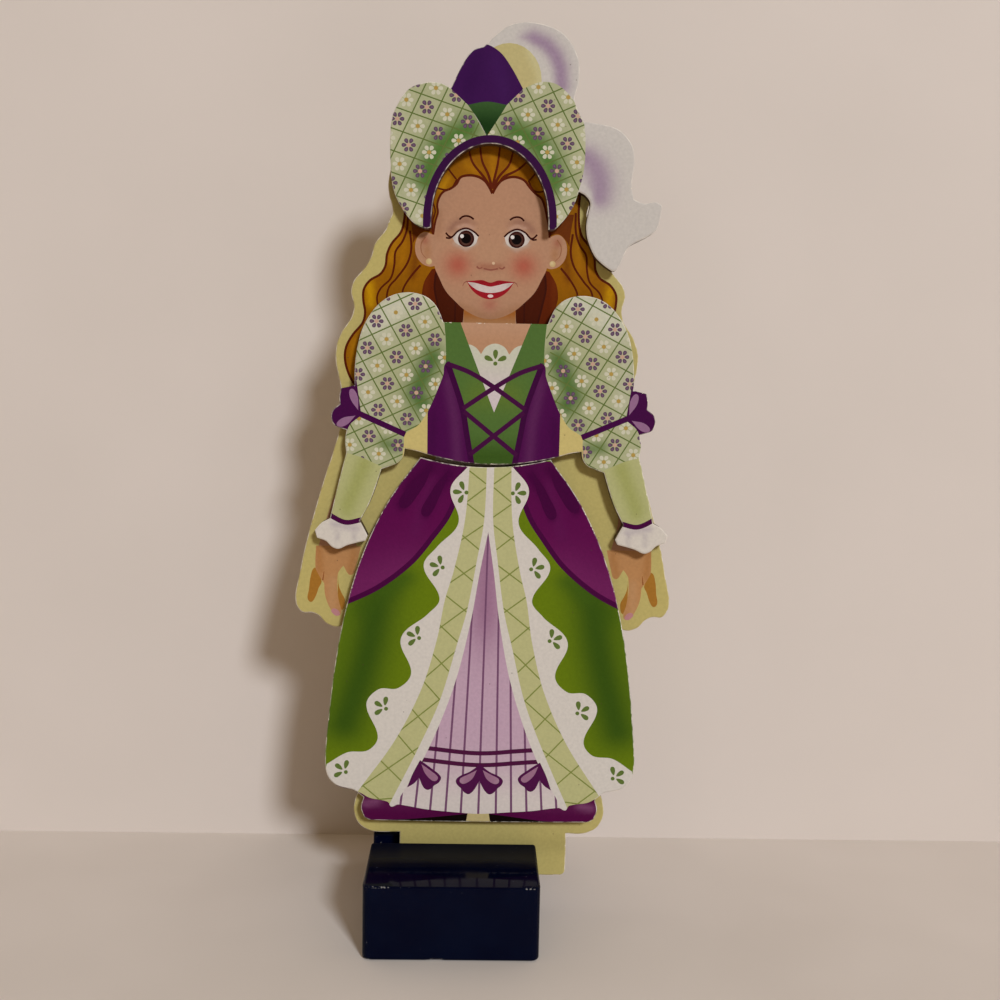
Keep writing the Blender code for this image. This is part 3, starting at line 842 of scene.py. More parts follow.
SKIRT_LEAN = 0.017
SKIRT_UPRIGHT = 21.8
SKIRT_SAG = 0.033            # how far the right side of the print drops per millimetre across
LACE_EDGE = [(6.0, 102), (10.4, 96), (8.0, 87), (13.5, 80.4), (16.9, 75.2), (12.4, 66.5), (15.4, 62.2),
             (22.4, 55.5), (19.4, 46), (22.8, 41.8), (28, 41.4), (31.2, 37.2), (27.9, 28.3), (30.4, 24.5),
             (36, 23.8), (41.5, 20.5)]
BAND_OUTER = [(5.45, 104), (6.3, 87.7), (8.8, 74.2), (10.95, 66.1), (12.8, 55.1), (16.6, 41.4), (23.2, 27.4),
              (32.1, 14.2), (35, 10)]
BAND_INNER = [(0.95, 104), (1.2, 87.8), (2.75, 77), (4.9, 63.5), (7.35, 53.9), (11.4, 38.7), (16.5, 26.1),
              (24.1, 9.8), (26, 6)]
# Heights of the crossed threads on a band, as start, change and growing change from one to the next
FALLING_FROM = (100.9, -8.75, 0.083)
FALLING_BY = (3.4, 0.23, 0.0)
FALLING_THREADS = 12
RISING_FROM = (96.5, -9.75, -0.35)
RISING_BY = (4.0, 0.0, 0.2)
RISING_THREADS = 8
THREAD_WIDTH = 0.36
PETTICOAT_EDGE = [(1.9, 73.5), (3.9, 60), (7.3, 44.2), (11.95, 30.3), (16.3, 20.5), (21.9, 10.6), (24, 6)]
STRIPES = [0.0, 4.85, 9.1, 13.4, 17.6, 21.8]
STRIPE_FOOT = 4.0
STRIPE_TOP = 86.0
STRIPE_DRAW = 0.0045         # how far the stripes draw together per millimetre of height
PANNIER_EDGE = [(6, 104), (10.4, 89.8), (15.4, 82.2), (20.5, 75.9), (28.4, 69.6), (36, 65.7), (48, 61)]
SKIRT_SPRIGS = [(6.65, 95.1, -1.52), (12.3, 75, -1.31), (18, 55.8, -1.17), (26.3, 36.3, -1.03),
                (36.7, 18.6, -0.92)]


def cornered(points):
    """The same points, with sharp ends."""
    return [(*points[0], CORNER)] + points[1:-1] + [(*points[-1], CORNER)]


def at_height(edge, height):
    """Where a drawn edge crosses a height."""
    for start, end in zip(edge, edge[1:]):
        if end[1] <= height <= start[1]:
            share = (start[1] - height) / (start[1] - end[1])
            return start[0] + (end[0] - start[0]) * share, height
    return edge[-1]


def paced(terms, i):
    """Term i of a run, from its start, its change and its growing change."""
    return terms[0] + terms[1] * i + terms[2] * i * i


def draw_threads(sheet, bands):
    """The crossed threads of the two bands down the front of the skirt."""
    thread = "#79803F"
    runs = []
    for i in range(FALLING_THREADS):
        top = paced(FALLING_FROM, i)
        runs.append((at_height(BAND_OUTER, top), at_height(BAND_INNER, top - paced(FALLING_BY, i))))
    for i in range(RISING_THREADS):
        top = paced(RISING_FROM, i)
        runs.append((at_height(BAND_INNER, top), at_height(BAND_OUTER, top - paced(RISING_BY, i))))
    for start, end in runs:
        sheet.lay_pair(stroke([(*start, CORNER), (*end, CORNER)], THREAD_WIDTH), thread, bands)


def draw_petticoat(sheet):
    """The striped petticoat between the bands, with two ribbons and three bows."""
    petticoat = sheet.lay(balanced([(0, 84.6, CORNER)] + PETTICOAT_EDGE + [(0, 4, CORNER)]),
                          dye("#B697A6", ([(0, 86), (0, 64)], (6, 15), "#956C84", 1.0),
                              ([(-20, 9), (20, 9)], (9, 12), "#CABEB6", 1.0)))
    stripe = "#6F4864"
    for place in STRIPES:
        drawn = place * (1 - STRIPE_DRAW * (STRIPE_TOP - STRIPE_FOOT))
        line = stroke([(place, STRIPE_FOOT, CORNER), (drawn, STRIPE_TOP, CORNER)], 0.62, 0.45)
        if place:
            sheet.lay_pair(line, stripe, petticoat)
        else:
            sheet.lay(line, stripe, petticoat)
    ribbon = "#491538"
    for middle, side, half in ((24.0, 25.3, 14.9), (20.7, 22.1, 16.2)):
        sheet.lay(stroke([(-half, side), (0, middle), (half, side)], 1.2), ribbon, petticoat)
    bow = "#4A1440"
    petal = dye("#94697F", ([(5, 16.2)], (1.2, 1.2), "#A3808E", 0.7))
    sheet.lay(balanced([(0, 20.9, CORNER), (2.6, 18.9), (5.3, 17.6), (6.4, 16.4), (6, 15.1), (4.9, 14.1),
                        (4, 13), (2.8, 12.5), (1.7, 13.3), (0.9, 14.5), (0, 16.3, CORNER)]), bow)
    sheet.lay_pair(shape([(0.8, 19.3, CORNER), (3.2, 18.0), (5.2, 16.9), (5.3, 15.9), (4.2, 15.4),
                          (2, 16.8)]), petal)
    sheet.lay_pair(shape([(16.3, 21.9, CORNER), (13.2, 19.7), (10.5, 17.3), (11, 15.7), (12.3, 14.8),
                          (13.1, 13.9), (14.2, 13.6), (15.3, 14.5), (16.4, 17, CORNER), (17.7, 15.4),
                          (19.6, 14.2, CORNER), (18.2, 18)]), bow)
    sheet.lay_pair(shape([(15.9, 20.8, CORNER), (13.5, 19.1), (11.3, 17.2), (11.7, 16.2), (12.8, 16.2),
                          (14.8, 18.2)]), petal)


def draw_shoes(sheet):
    """Everything below the hem: the shoes, their soles and the border between them."""
    hem = [(0, 7), (4, 7.2), (14, 8.1), (22, 9.4), (23, 8.9), (23.9, 8.8), (24.7, 10.1), (29.7, 11.2),
           (32.5, 12.7), (40, 15, CORNER)]
    shoe = dye("#4C0939", ([(30.4, 9.6), (28, 10)], (2, 1.3), "#7A4668", 0.8),
               ([(20, 9)], (8, 1.6), "#561A44", 0.6))
    ground = sheet.lay(balanced(hem + [(40, 0, CORNER), (0, 0, CORNER)]), twinned(shoe))
    sheet.lay(balanced([(0, 9, CORNER), (2.9, 9, CORNER), (2.9, 7.1, CORNER), (4.1, 0, CORNER)]),
              "#B5A473", ground)
    sheet.lay_pair(shape([(2.9, 7.0, CORNER), (10.8, 6.1), (19.5, 5.3), (27, 4.9, CORNER), (27, 0, CORNER),
                          (4.1, 0, CORNER)]), "#0F0705", ground)


def skirt_print(flowers, chips):
    """The skirt: side swags over green cloth, lace, crossed bands and the petticoat."""
    green = dye("#60730F",
                ([(28, 70), (29.4, 62), (30.8, 54), (32.4, 47), (35, 38), (37, 32)], (7.6, 7.2), "#334C0F",
                 0.97),
                ([(33, 64)], (4.5, 5), "#36500F", 0.6),
                ([(36.5, 64), (37.5, 54), (39.5, 44), (42, 32)], (2.2, 4), "#476012", 0.4),
                ([(22, 72), (27, 68)], (4, 3), "#3C5512", 0.8))
    sheet = PrintedSheet("skirt_print", twinned(green), FIGURE_MIDDLE, SKIRT_LEAN, SKIRT_UPRIGHT, SKIRT_SAG)
    purple = dye("#570B43", ([(10, 104), (26, 104)], (14, 10), "#48083B", 0.95),
                 ([(20, 73), (38, 67)], (14, 9), "#681F52", 0.95),
                 ([(15.4, 97), (19.5, 85)], (1.8, 3), "#5A1549", 0.5),
                 ([(16, 101.5), (21, 97), (23.2, 91.4)], (1.6, 1.8), "#400434", 1.0),
                 ([(10.8, 100), (14, 95.5), (16.8, 89.4)], (1.4, 1.6), "#3F0335", 1.0))
    pannier = sheet.lay_pair(shape(cornered(PANNIER_EDGE) + [(60, 104, CORNER)]), purple)
    fold = "#400535"
    sheet.lay_pair(leaf((15.2, 102.6), (23.4, 90.8), 3.2, 0.5), fold, pannier)
    sheet.lay_pair(leaf((11.0, 101.3), (17.3, 88.6), 2.5, 0.5), fold, pannier)
    sheet.lay_pair(stroke(PANNIER_EDGE, 1.4), "#430737")
    lace = sheet.lay(balanced(cornered(LACE_EDGE) + [(44, 10, CORNER), (30, 4, CORNER)]), LACE_WHITE)
    bands = sheet.lay_pair(shape(cornered(BAND_OUTER) + cornered(BAND_INNER)[::-1]), "#B0AC79", lace)
    draw_threads(sheet, bands)
    draw_petticoat(sheet)
    sheet.strew(flowers, SKIRT_SPRIGS, SPRIG, SPRIG_INKS, lace)
    sheet.strew(flowers, [(-x, h, -turn) for x, h, turn in SKIRT_SPRIGS], SPRIG, SPRIG_INKS, lace)
    draw_shoes(sheet)

    def wear(point):
        waist = point.y > 99
        side = point.y > 60 and abs(point.x) > 15
        return 0.9 if waist else 0.8 if side else 0.7 if point.y < 8 else 0.15
    sheet.chip(chips, wear, {"Long": 1.3, "Deep": 0.7, "Seed": 31, "GirthSeed": 32})
    return sheet


# Figure

HEAD_LEAN = 0.005
HEAD_UPRIGHT = 60.0
FACE_BOX = (-20, 140), (20, 172)
HAIRLINE = [(0, 173.5, CORNER), (0.9, 175.2), (2.2, 176.8), (4.2, 177.7), (6.2, 177.8), (8.3, 177),
            (9.7, 175.3), (11.3, 173.7), (12.9, 172.5), (13.8, 170.4), (14.4, 168), (15, 165.4),
            (15.3, 162.4)]
LEFT_HAIRLINE = [(0, 173.5, CORNER), (0.9, 175.2), (2.2, 176.8), (4.2, 177.8), (6.5, 178), (8.5, 177.4),
                 (9.4, 175.8), (11, 174.5), (12.8, 173.7), (13.9, 172.2), (14.4, 170.2), (14.2, 168.3),
                 (14.8, 166), (15.3, 162.6)]
JAW = [(14.8, 154.5), (13.5, 151.4), (11.7, 148), (9.2, 145.4), (6.8, 143.3), (3.3, 141.5), (0, 140.9)]
EAR = [(15.2, 162.5, CORNER), (17.6, 163.2), (19.4, 161.8), (20, 159.3), (19.5, 156.8), (18, 155),
       (16.1, 154.3), (14.4, 154.6, CORNER)]
HAIR_EDGE = [(9.5, 191.5), (17, 187), (21.5, 181), (22.9, 175), (22.8, 170), (23, 166), (23.8, 163),
             (26.1, 160.1), (27.3, 157.4), (27.7, 154.3), (29, 152.1), (31.7, 150.4), (33.3, 148),
             (33.4, 145.2), (32.9, 142), (33.5, 139.3), (36, 136.2), (37.7, 133.1), (38.1, 130),
             (37.3, 126.5), (35.4, 123), (30, 118)]
STRANDS = [
    [(22, 169), (22.2, 164), (23.3, 160.7), (25.1, 158), (25.4, 154.4), (26.3, 151), (28.9, 148.3),
     (29.8, 146), (29.4, 142), (31.5, 136), (32.4, 130)],
    [(21.4, 163.5), (21, 158.7), (22, 155), (24.8, 151), (26.7, 148.7), (27.2, 145.6), (26, 140), (27, 132)],
    [(18.5, 154.6), (20.7, 152), (22.5, 149.3), (23.1, 147.4), (22, 141)],
]
CROWN_LINES = [
    [(-0.2, 174.5), (-2.3, 177.6), (-5.4, 181.4), (-6.6, 185.5)],
    [(-0.1, 174.8), (-1.2, 178.3), (-2.9, 181.8), (-3.6, 186.5)],
    [(0, 174.7), (0.4, 177.2), (1.2, 181), (1.8, 186.5)],
    [(0.2, 174.7), (1.5, 177.7), (4.2, 181), (5.4, 185.5)],
    [(2, 176.6), (2.9, 177.8), (6.6, 179.8), (9.5, 182.4)],
]


def draw_body(sheet):
    """Slip, arms, legs and slippers, which the clothes cover."""
    sheet.lay_pair(shape([(11, 138.4, CORNER), (20, 136.5), (26, 131), (31, 118), (36.5, 104), (41.6, 90),
                          (45.3, 77, CORNER), (33.8, 77, CORNER), (36, 90), (31.5, 101), (25, 114),
                          (16.5, 126), (12, 130, CORNER)]), SKIN)
    sheet.lay_pair(shape([(2, 40, CORNER), (18, 40, CORNER), (17.4, 26), (18.5, 17), (12, 14.5), (6, 17),
                          (3.6, 28)]), SKIN)
    slipper = dye("#4D1B44", ([(14, 15), (18, 15)], (3, 2), "#744C6E", 0.6))
    sheet.lay_pair(shape([(5.6, 18.6), (12, 15.8), (19, 18), (26, 13.4), (28.4, 9.4), (22, 7.6), (8, 8.2),
                          (4.4, 12)]), slipper)
    slip = sheet.lay(balanced([(7.4, 138, CORNER), (9.5, 137.6, CORNER), (14.6, 136.6), (16.4, 130),
                               (13.4, 118), (12.6, 108), (16, 96), (20, 74), (23.4, 48), (24.6, 31, CORNER),
                               (20.5, 28.6), (16.4, 31, CORNER), (12.3, 28.6), (8.2, 31, CORNER),
                               (4.1, 28.6), (0, 31, CORNER)]),
                     twinned(dye("#C4BBB0", ([(7, 86), (10, 36)], (2.4, 4), "#A59B98", 0.7),
                                 ([(15, 90), (19.5, 36)], (2, 4), "#A59B98", 0.5),
                                 ([(0, 108), (9, 108)], (3, 3), "#A59B98", 0.6))))
    sheet.lay(stroke([(-14, 108.6), (0, 106.4), (14, 108.6)], 1.2), LAVENDER, slip)
    sheet.lay(stroke([(-26, 35.6), (0, 33.6), (26, 35.6)], 0.9), LAVENDER, slip)
    sheet.lay(balanced([(6.85, 143, CORNER), (7.2, 139.6), (8.6, 137.2), (5.4, 131.8), (0, 129.6)]), SKIN)


def draw_hand(sheet):
    """Both hands: two fingers behind, the hand with its long finger, and a nail."""
    line = "#7D4118"
    far = "#9C6A28"
    sheet.lay_pair(shape([(45.6, 73.6), (46.7, 71.1), (47.1, 67.7), (47.5, 65.4), (47.1, 64.4), (46.3, 64.2),
                          (45.3, 65.7), (44.5, 68), (43.7, 69.9), (44.7, 72)]), far)
    sheet.lay_pair(shape([(45.3, 79.6, CORNER), (45.4, 73.6), (44.7, 72), (43.6, 70.1), (43, 69.3, CORNER),
                          (42.8, 66.5), (42, 63.8), (40.7, 61.5), (39.7, 60.5), (38.6, 60.7), (38.3, 62),
                          (38.7, 64.1), (39.3, 66.6), (39.5, 69.1), (39.3, 72.1), (38.5, 73.5),
                          (37.9, 74.2, CORNER), (35.8, 71.7), (34.4, 74.6), (33.2, 79.6, CORNER)]),
                   dye("#AF7E50", ([(40.6, 70), (41, 63)], (1.4, 1.8), "#B58A60", 0.6),
                       ([(44.6, 79), (44.2, 73)], (1.2, 2), "#9C6634", 0.6),
                       ([(35, 78), (36, 73)], (1, 2), "#9C6634", 0.5)))
    sheet.lay_pair(shape([(39.3, 72.1, CORNER), (39.1, 68.9), (38.3, 66.8), (37.4, 65), (37.6, 62.6),
                          (38.2, 62, CORNER), (38.9, 64.1), (39.3, 66.6)]), far)
    sheet.lay_pair(stroke([(43.4, 70.2), (43.1, 72.6)], 0.3, 0.1), line)
    sheet.lay_pair(shape([(41.1, 61.9), (40.3, 62.5), (39.1, 61.9), (38.7, 60.8), (39.7, 60.45),
                          (40.7, 61.2)]), "#B27C7C")


def draw_hair(sheet):
    """Hair behind the head, with its strands and the lines of its crown."""
    gold = dye("#8C5605", ([(9.5, 184), (14, 182)], (4, 2.4), "#653808", 0.7),
               ([(24.6, 162), (26.4, 156)], (1.1, 2.4), "#A8700C", 0.8),
               ([(31.8, 148.8), (31.4, 144.6)], (1.5, 2), "#B98506", 1.0),
               ([(22.9, 160), (23.4, 155)], (1.1, 2), "#9E6508", 0.8),
               ([(19.4, 151), (20.6, 146)], (1.6, 2), "#945A06", 0.6),
               ([(19.5, 158), (20.5, 152)], (1.3, 1.6), "#6D3806", 0.8),
               ([(35.4, 133), (35.2, 126)], (1.4, 3), "#A8700C", 0.9),
               ([(0, 178), (0.4, 183)], (0.9, 2), "#A86F0C", 0.7),
               ([(4.4, 179), (7, 181)], (1.2, 1.2), "#A86F0C", 0.7),
               ([(12, 176.6), (13.4, 174.6)], (1.2, 1.4), "#B47C0C", 0.9))
    hair = sheet.lay(balanced([(0, 192.8)] + HAIR_EDGE + [(10, 118, CORNER)]), twinned(gold))
    pen = "#521A05"
    sheet.lay_pair(shape([(15.5, 153.6, CORNER), (17.4, 150.4), (18, 147), (17.6, 144.7), (16.4, 140),
                          (14, 132, CORNER), (5, 132, CORNER), (5, 156, CORNER)]),
                   dye("#5B1F04", ([(17, 151), (17, 143)], (1, 2), "#6B2C08", 0.6)), hair)
    sheet.lay_pair(shape([(14.2, 153), (14.7, 149), (13.9, 144.8), (12.8, 140), (11, 132, CORNER),
                          (5, 132, CORNER), (5, 156, CORNER)]), "#451605", hair)
    sheet.lay_pair(stroke([(14.3, 153), (14.7, 149), (13.9, 144.8), (12.8, 140)], 0.5), "#3A1107")
    sheet.lay_pair(stroke([(9.1, 146), (9.2, 140)], 0.45), "#3A1107")
    sheet.lay_pair(shape([(15, 162.8, CORNER), (17.6, 163.4), (19.6, 161.8), (20.6, 160.2, CORNER),
                          (20.9, 164), (21.6, 168.5, CORNER), (15.4, 168.5, CORNER)]), "#652E08", hair)
    sheet.lay_pair(stroke(HAIR_EDGE, 0.62), pen)
    for strand in STRANDS:
        sheet.lay_pair(stroke(strand, 0.6, 0.4), pen, hair)
    for line in CROWN_LINES:
        sheet.lay(stroke(line, 0.75, 0.45), "#5A1E08", hair)
    sheet.lay_pair(stroke([(9.6, 177), (12.4, 180.4)], 0.45), pen)
    sheet.lay_pair(stroke([(9.3, 177), (11.2, 174.3), (15.2, 174.7)], 0.45), pen)
    sheet.lay_pair(stroke([(15.6, 171), (14.9, 168.6), (15.6, 165.6), (15.5, 162.8)], 0.4), pen)


def draw_head(sheet):
    """Neck, ears, earrings and face without features."""
    skin = dye(SKIN, ([(-8, 158), (8, 158)], (6, 8), "#AE8466", 0.6),
               ([(8.7, 154.9)], (4.0, 3.9), "#A5503F", 0.88),
               ([(10.8, 164), (9.6, 165.5), (8.1, 166.2), (6.6, 166.4)], (1.3, 1.1), "#8C6250", 0.75),
               ([(6.6, 166.4), (4.7, 165.6)], (1.2, 0.9), "#966C58", 0.5),
               ([(8.6, 164.7), (6.7, 165.2), (5, 164.5)], (0.8, 0.5), "#B68E7A", 0.8),
               ([(4.1, 160.7), (6.6, 159.1), (9.4, 160.4)], (0.8, 0.7), "#B3A294", 0.5),
               ([(0, 144.7)], (2.4, 2.2), "#A56350", 0.75),
               ([(2.1, 154.6), (0, 154.5)], (1.8, 1.2), "#985F49", 0.75),
               ([(13.8, 168), (14, 163)], (1.3, 2), "#9E7052", 0.5),
               ([(0, 141), (8, 144)], (2, 1.4), "#9A6A48", 0.5))
    sheet.lay(balanced([(6.85, 146, CORNER), (6.85, 137.5, CORNER)]),
              graded((0, 142.2), "#9C5E2A", (0, 139), "#B2835A"))
    ear = dye(SKIN, ([(17.4, 161)], (1.2, 1.6), "#985A44", 0.8), ([(16.8, 158)], (1.3, 2.4), "#A0704C", 0.8))
    sheet.lay_pair(shape(EAR), ear)
    sheet.lay_pair(stroke([(17.3, 161.9), (18.4, 160.2), (18.2, 157.8), (17, 156.4)], 0.35, 0.15), "#8E5C3E")
    sheet.lay_pair(ellipse((16.3, 155.6), 0.8, 0.8),
                   dye("#BD9F6C", ([(16.1, 155.8)], (0.6, 0.6), "#D0BB8E", 0.9)))
    left = [(-x, h) for x, h in JAW[-2::-1] + LEFT_HAIRLINE[:0:-1]]
    sheet.lay(shape(HAIRLINE + JAW + left), twinned(skin))
    hairline = "#561C06"
    sheet.lay(stroke(HAIRLINE, 0.72, 0.5), hairline)
    sheet.lay(mirrored(stroke(LEFT_HAIRLINE, 0.72, 0.5)), hairline)


def draw_face(sheet):
    """Brows, eyes, nose and mouth."""
    ink = "#330C06"
    sheet.lay_pair(stroke([(4.75, 166.75), (5.5, 167.3), (6.3, 167.55), (7.1, 167.55), (7.85, 167.25),
                           (8.5, 166.6)], 0.48), ink)
    eye = sheet.lay_pair(shape([(3.4, 162.4, CORNER), (4.6, 163.5), (6.7, 164.3), (8.8, 163.6),
                                (10.3, 162, CORNER), (9.3, 160.5), (6.6, 159.5), (4.3, 160.2)]),
                         dye("#C8BCB2", ([(5, 164), (8.6, 164)], (1, 0.8), "#9A8E8A", 0.6),
                             ([(10.2, 162)], (0.9, 0.9), "#A9978C", 0.8),
                             ([(3.6, 160.2), (5.4, 159.2)], (0.8, 0.7), "#A69A8A", 0.8),
                             ([(8, 159.2), (9.8, 160.6)], (0.7, 0.6), "#B0A092", 0.7)))
    sheet.lay_pair(ellipse((6.65, 161.7), 2.15, 2.15), ink, eye)
    sheet.lay_pair(ellipse((6.65, 161.7), 1.72, 1.72),
                   dye("#43261E", ([(6.9, 160.5)], (1, 0.8), "#5C3F34", 0.8)), eye)
    sheet.lay_pair(ellipse((6.65, 161.75), 1.3, 1.3), "#0C0403", eye)
    for side in (-6.65, 6.65):
        sheet.lay(ellipse((side - 1.1, 162.35), 0.5, 0.5), "#D8CFC8")
    sheet.lay_pair(stroke([(3.35, 162.4), (4.6, 163.55), (6.7, 164.4), (8.8, 163.65), (10.4, 162.1),
                           (11.3, 162.35), (12, 163.15)], 0.46), ink)
    sheet.lay_pair(stroke([(10.2, 162.2), (11, 161.75), (11.95, 161.9)], 0.46), ink)
    shade = "#875040"
    sheet.lay(stroke([(-1.9, 154.1), (0, 153.75), (1.9, 154.1)], 0.42), shade)
    sheet.lay_pair(stroke([(3.7, 154.6), (3, 154.05), (2.2, 154.4)], 0.48, 0.3), shade)
    sheet.lay(ellipse((0.7, 155.5), 0.38, 0.38), "#CBA988")
    sheet.lay(balanced([(0, 150.45), (2.1, 151.05), (4.3, 150.9), (6.3, 150.7, CORNER), (4.8, 148.4),
                        (2.5, 146.7), (0, 146.1)]),
              dye("#941822", ([(-3, 150.6), (3, 150.6)], (1.5, 0.7), "#80101A", 0.6)))
    sheet.lay(balanced([(0, 149.4), (2, 149.8), (4, 150.3), (6.05, 150.5, CORNER), (4.8, 149.3),
                        (2.8, 148.2), (0, 147.75)]),
              twinned(dye("#C8B6AE", ([(5, 149.8)], (1.2, 1), "#A89890", 0.7))))
    sheet.lay_pair(stroke([(6.1, 150.7), (6.9, 150.3), (7.3, 149.4)], 0.3, 0.12), shade)
    sheet.lay(ellipse((0.1, 146.95), 0.75, 0.42), "#D6BFB8")


def doll_print(chips):
    """The figure on its border."""
    # The border is painted darker behind the skirt's lower part and on the tab below it: painted shade
    sheet = PrintedSheet("doll_print", dye(BORDER_YELLOW, ([(-20, 14), (20, 14)], (10, 8), "#A5965C", 0.6),
                                               ([(-24, -3), (24, -3)], (6, 3.5), "#A3955A", 0.8)),
                         FIGURE_MIDDLE, HEAD_LEAN, HEAD_UPRIGHT)
    sheet.fine = [FACE_BOX]
    draw_hair(sheet)
    draw_body(sheet)
    draw_hand(sheet)
    draw_head(sheet)
    draw_face(sheet)
    sheet.chip(chips, lambda point: 0.05, {"Long": 1.2, "Deep": 0.5, "Seed": 47, "GirthSeed": 48})
    return sheet


# Boards, magnets and stand

def disc_of(node_name):
    """Middle, radius and thickness of a magnet or keeper, in metres; the middle is on its back face."""
    low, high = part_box(node_name)
    middle = (low + high) / 2
    return Vector((middle.x, high.y, middle.z)), (high.x - low.x) / 2, high.y - low.y


def painted_board(name, sheet, node_name, discs, material, pockets_in_back):
    """The board behind a print: straight sides, a chamfer round its back, and a pocket for each disc."""
    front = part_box(sheet.node_name)[1].y
    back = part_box(node_name)[1].y
    builder = bmesh.new()
    cut_layer = builder.faces.layers.float.new("cut")

    def ring(loop, depth):
        verts = [builder.verts.new((sheet.middle + p.x * MM, depth, BASE_LINE + p.y * MM)) for p in loop]
        return verts, [builder.edges.new((verts[i - 1], verts[i])) for i in range(len(verts))]

    def wall(first, second):
        for i in range(len(first)):
            side = builder.faces.new((first[i - 1], first[i], second[i], second[i - 1]))
            side[cut_layer] = 1.0

    front_ring, front_edges = ring(sheet.rim, front)
    side_ring, _ = ring(sheet.rim, back - BACK_CHAMFER * MM)
    back_ring, back_edges = ring(inset(sheet.rim, BACK_CHAMFER), back)
    wall(front_ring, side_ring)
    wall(side_ring, back_ring)
    mouths = back_edges if pockets_in_back else front_edges
    mouth_depth = back if pockets_in_back else front
    for disc in discs:
        centre, radius, thick = disc_of(disc)
        floor = centre.y - thick - POCKET_SLACK * MM if pockets_in_back else centre.y + POCKET_SLACK * MM
        place = ((centre.x - sheet.middle) / MM, (centre.z - BASE_LINE) / MM)
        hole = ellipse(place, radius / MM + POCKET_SLACK, radius / MM + POCKET_SLACK, sides=POCKET_SIDES)
        mouth, mouth_edges = ring(hole, mouth_depth)
        sunk, _ = ring(hole, floor)
        wall(mouth, sunk)
        builder.faces.new(sunk)
        mouths.extend(mouth_edges)
    for edges in (front_edges, back_edges):
        bmesh.ops.triangle_fill(builder, edges=edges, use_beauty=True)
    return finished(name, builder, material, BOARD_CREASE)


def plated_magnets(name, tree, discs):
    """Both magnets of one piece of clothing."""
    _, radius, thick = disc_of(discs[0])
    seeds = bpy.data.meshes.new(name)
    seeds.from_pydata([disc_of(disc)[0] for disc in discs], [], [])
    mesh = grown(tree, seeds, {"Radius": radius, "Thickness": thick, "Chamfer": MAGNET_CHAMFER * MM})
    return shown(name, mesh, BOARD_CREASE)


def round_off(builder, edges, radius):
    """Rounds edges with a bevel of that radius."""
    bmesh.ops.bevel(builder, geom=edges, offset=radius * MM, segments=BLOCK_EDGE_STEPS, profile=0.5,
                    affect="EDGES", clamp_overlap=True)
    builder.normal_update()


def enamel_block(name, material):
    """The stand: a block with rounded edges and a slot, its paint chipped along its upper edges."""
    low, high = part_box("stand_block")
    half = max(-doll_low.y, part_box("doll_board")[1].y) + SLOT_SLACK * MM
    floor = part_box("doll_board")[0].z - SLOT_SLACK * MM
    profile = [(low.y, low.z), (high.y, low.z), (high.y, high.z), (half, high.z), (half, floor),
               (-half, floor), (-half, high.z), (low.y, high.z)]
    builder = bmesh.new()
    ends = [[builder.verts.new((x, y, z)) for y, z in profile] for x in (low.x, high.x)]
    for end in ends:
        builder.faces.new(end)
    for i in range(len(profile)):
        builder.faces.new((ends[0][i - 1], ends[0][i], ends[1][i], ends[1][i - 1]))
    bmesh.ops.recalc_face_normals(builder, faces=builder.faces)
    outer = (half + high.y) / 2
    upright = [edge for edge in builder.edges
               if all(abs(vert.co.y) > outer for vert in edge.verts)
               and edge.verts[0].co.xy == edge.verts[1].co.xy]
    round_off(builder, upright, BLOCK_CORNER)
    round_off(builder, [edge for edge in builder.edges if edge.calc_face_angle_signed() > SQUARE], BLOCK_EDGE)
    for axis in range(3):
        across = Vector([float(i == axis) for i in range(3)])
        count = int((high[axis] - low[axis]) / (BLOCK_SLICE * MM))
        for i in range(1, count):
            cut = low + (high - low) * i / count
            everything = builder.verts[:] + builder.edges[:] + builder.faces[:]
            bmesh.ops.bisect_plane(builder, geom=everything, plane_co=cut, plane_no=across)
    builder.normal_update()
    chip_layer = builder.verts.layers.float.new("chip")
    rubbed_layer = builder.verts.layers.float.new("rubbed")
    for vert in builder.verts:
        for across, facing, level, half_length in BLOCK_CHIPS:
            beyond = max(0.0, abs(vert.co.x / MM - across) - half_length)
            behind = (high.y - facing * vert.co.y) / MM
            below = (high.z - vert.co.z if level > 0 else vert.co.z - low.z) / MM
            near = 1 - Vector((beyond, behind, below)).length / CHIP_REACH
            vert[chip_layer] = max(vert[chip_layer], near)
    for vert in builder.verts:
        vert.co -= vert.normal * vert[chip_layer] * CHIP_DEPTH * MM
        if high.z - vert.co.z < BLOCK_EDGE * MM:
            outwards = max(0.0, (abs(vert.co.y) - half) / (high.y - half))
            vert[rubbed_layer] = max(0.0, 1 - outwards / RUBBED_SHARE)
            vert.co.z -= outwards ** TOP_ROLL * TOP_CROWN * MM
    return finished(name, builder, material, BOARD_CREASE)


# Materials

# Inputs 0 to 4 of a Map Range are its value, the ends of the range it is in, and the ends of the range it is
# mapped to. Inputs 0, 6 and 7 of a Mix are its share and its two colours, and output 2 is the mixed colour.

def fresh(name):
    """A new material, its tree and its shader."""
    material = bpy.data.materials.new(name)
    material.use_nodes = True
    return material, material.node_tree, material.node_tree.nodes["Principled BSDF"]


def grain(tree, size, detail=2.0, stretch=(1, 1, 1)):
    """A pattern with features of a real size in millimetres, on the piece's own coordinates."""
    place = node(tree, "ShaderNodeTexCoord").outputs["Object"]
    drawn_out = node(tree, "ShaderNodeMapping", {"Vector": place, "Scale": stretch})
    return node(tree, "ShaderNodeTexNoise", {"Vector": drawn_out, "Scale": 1 / (size * MM), "Detail": detail})


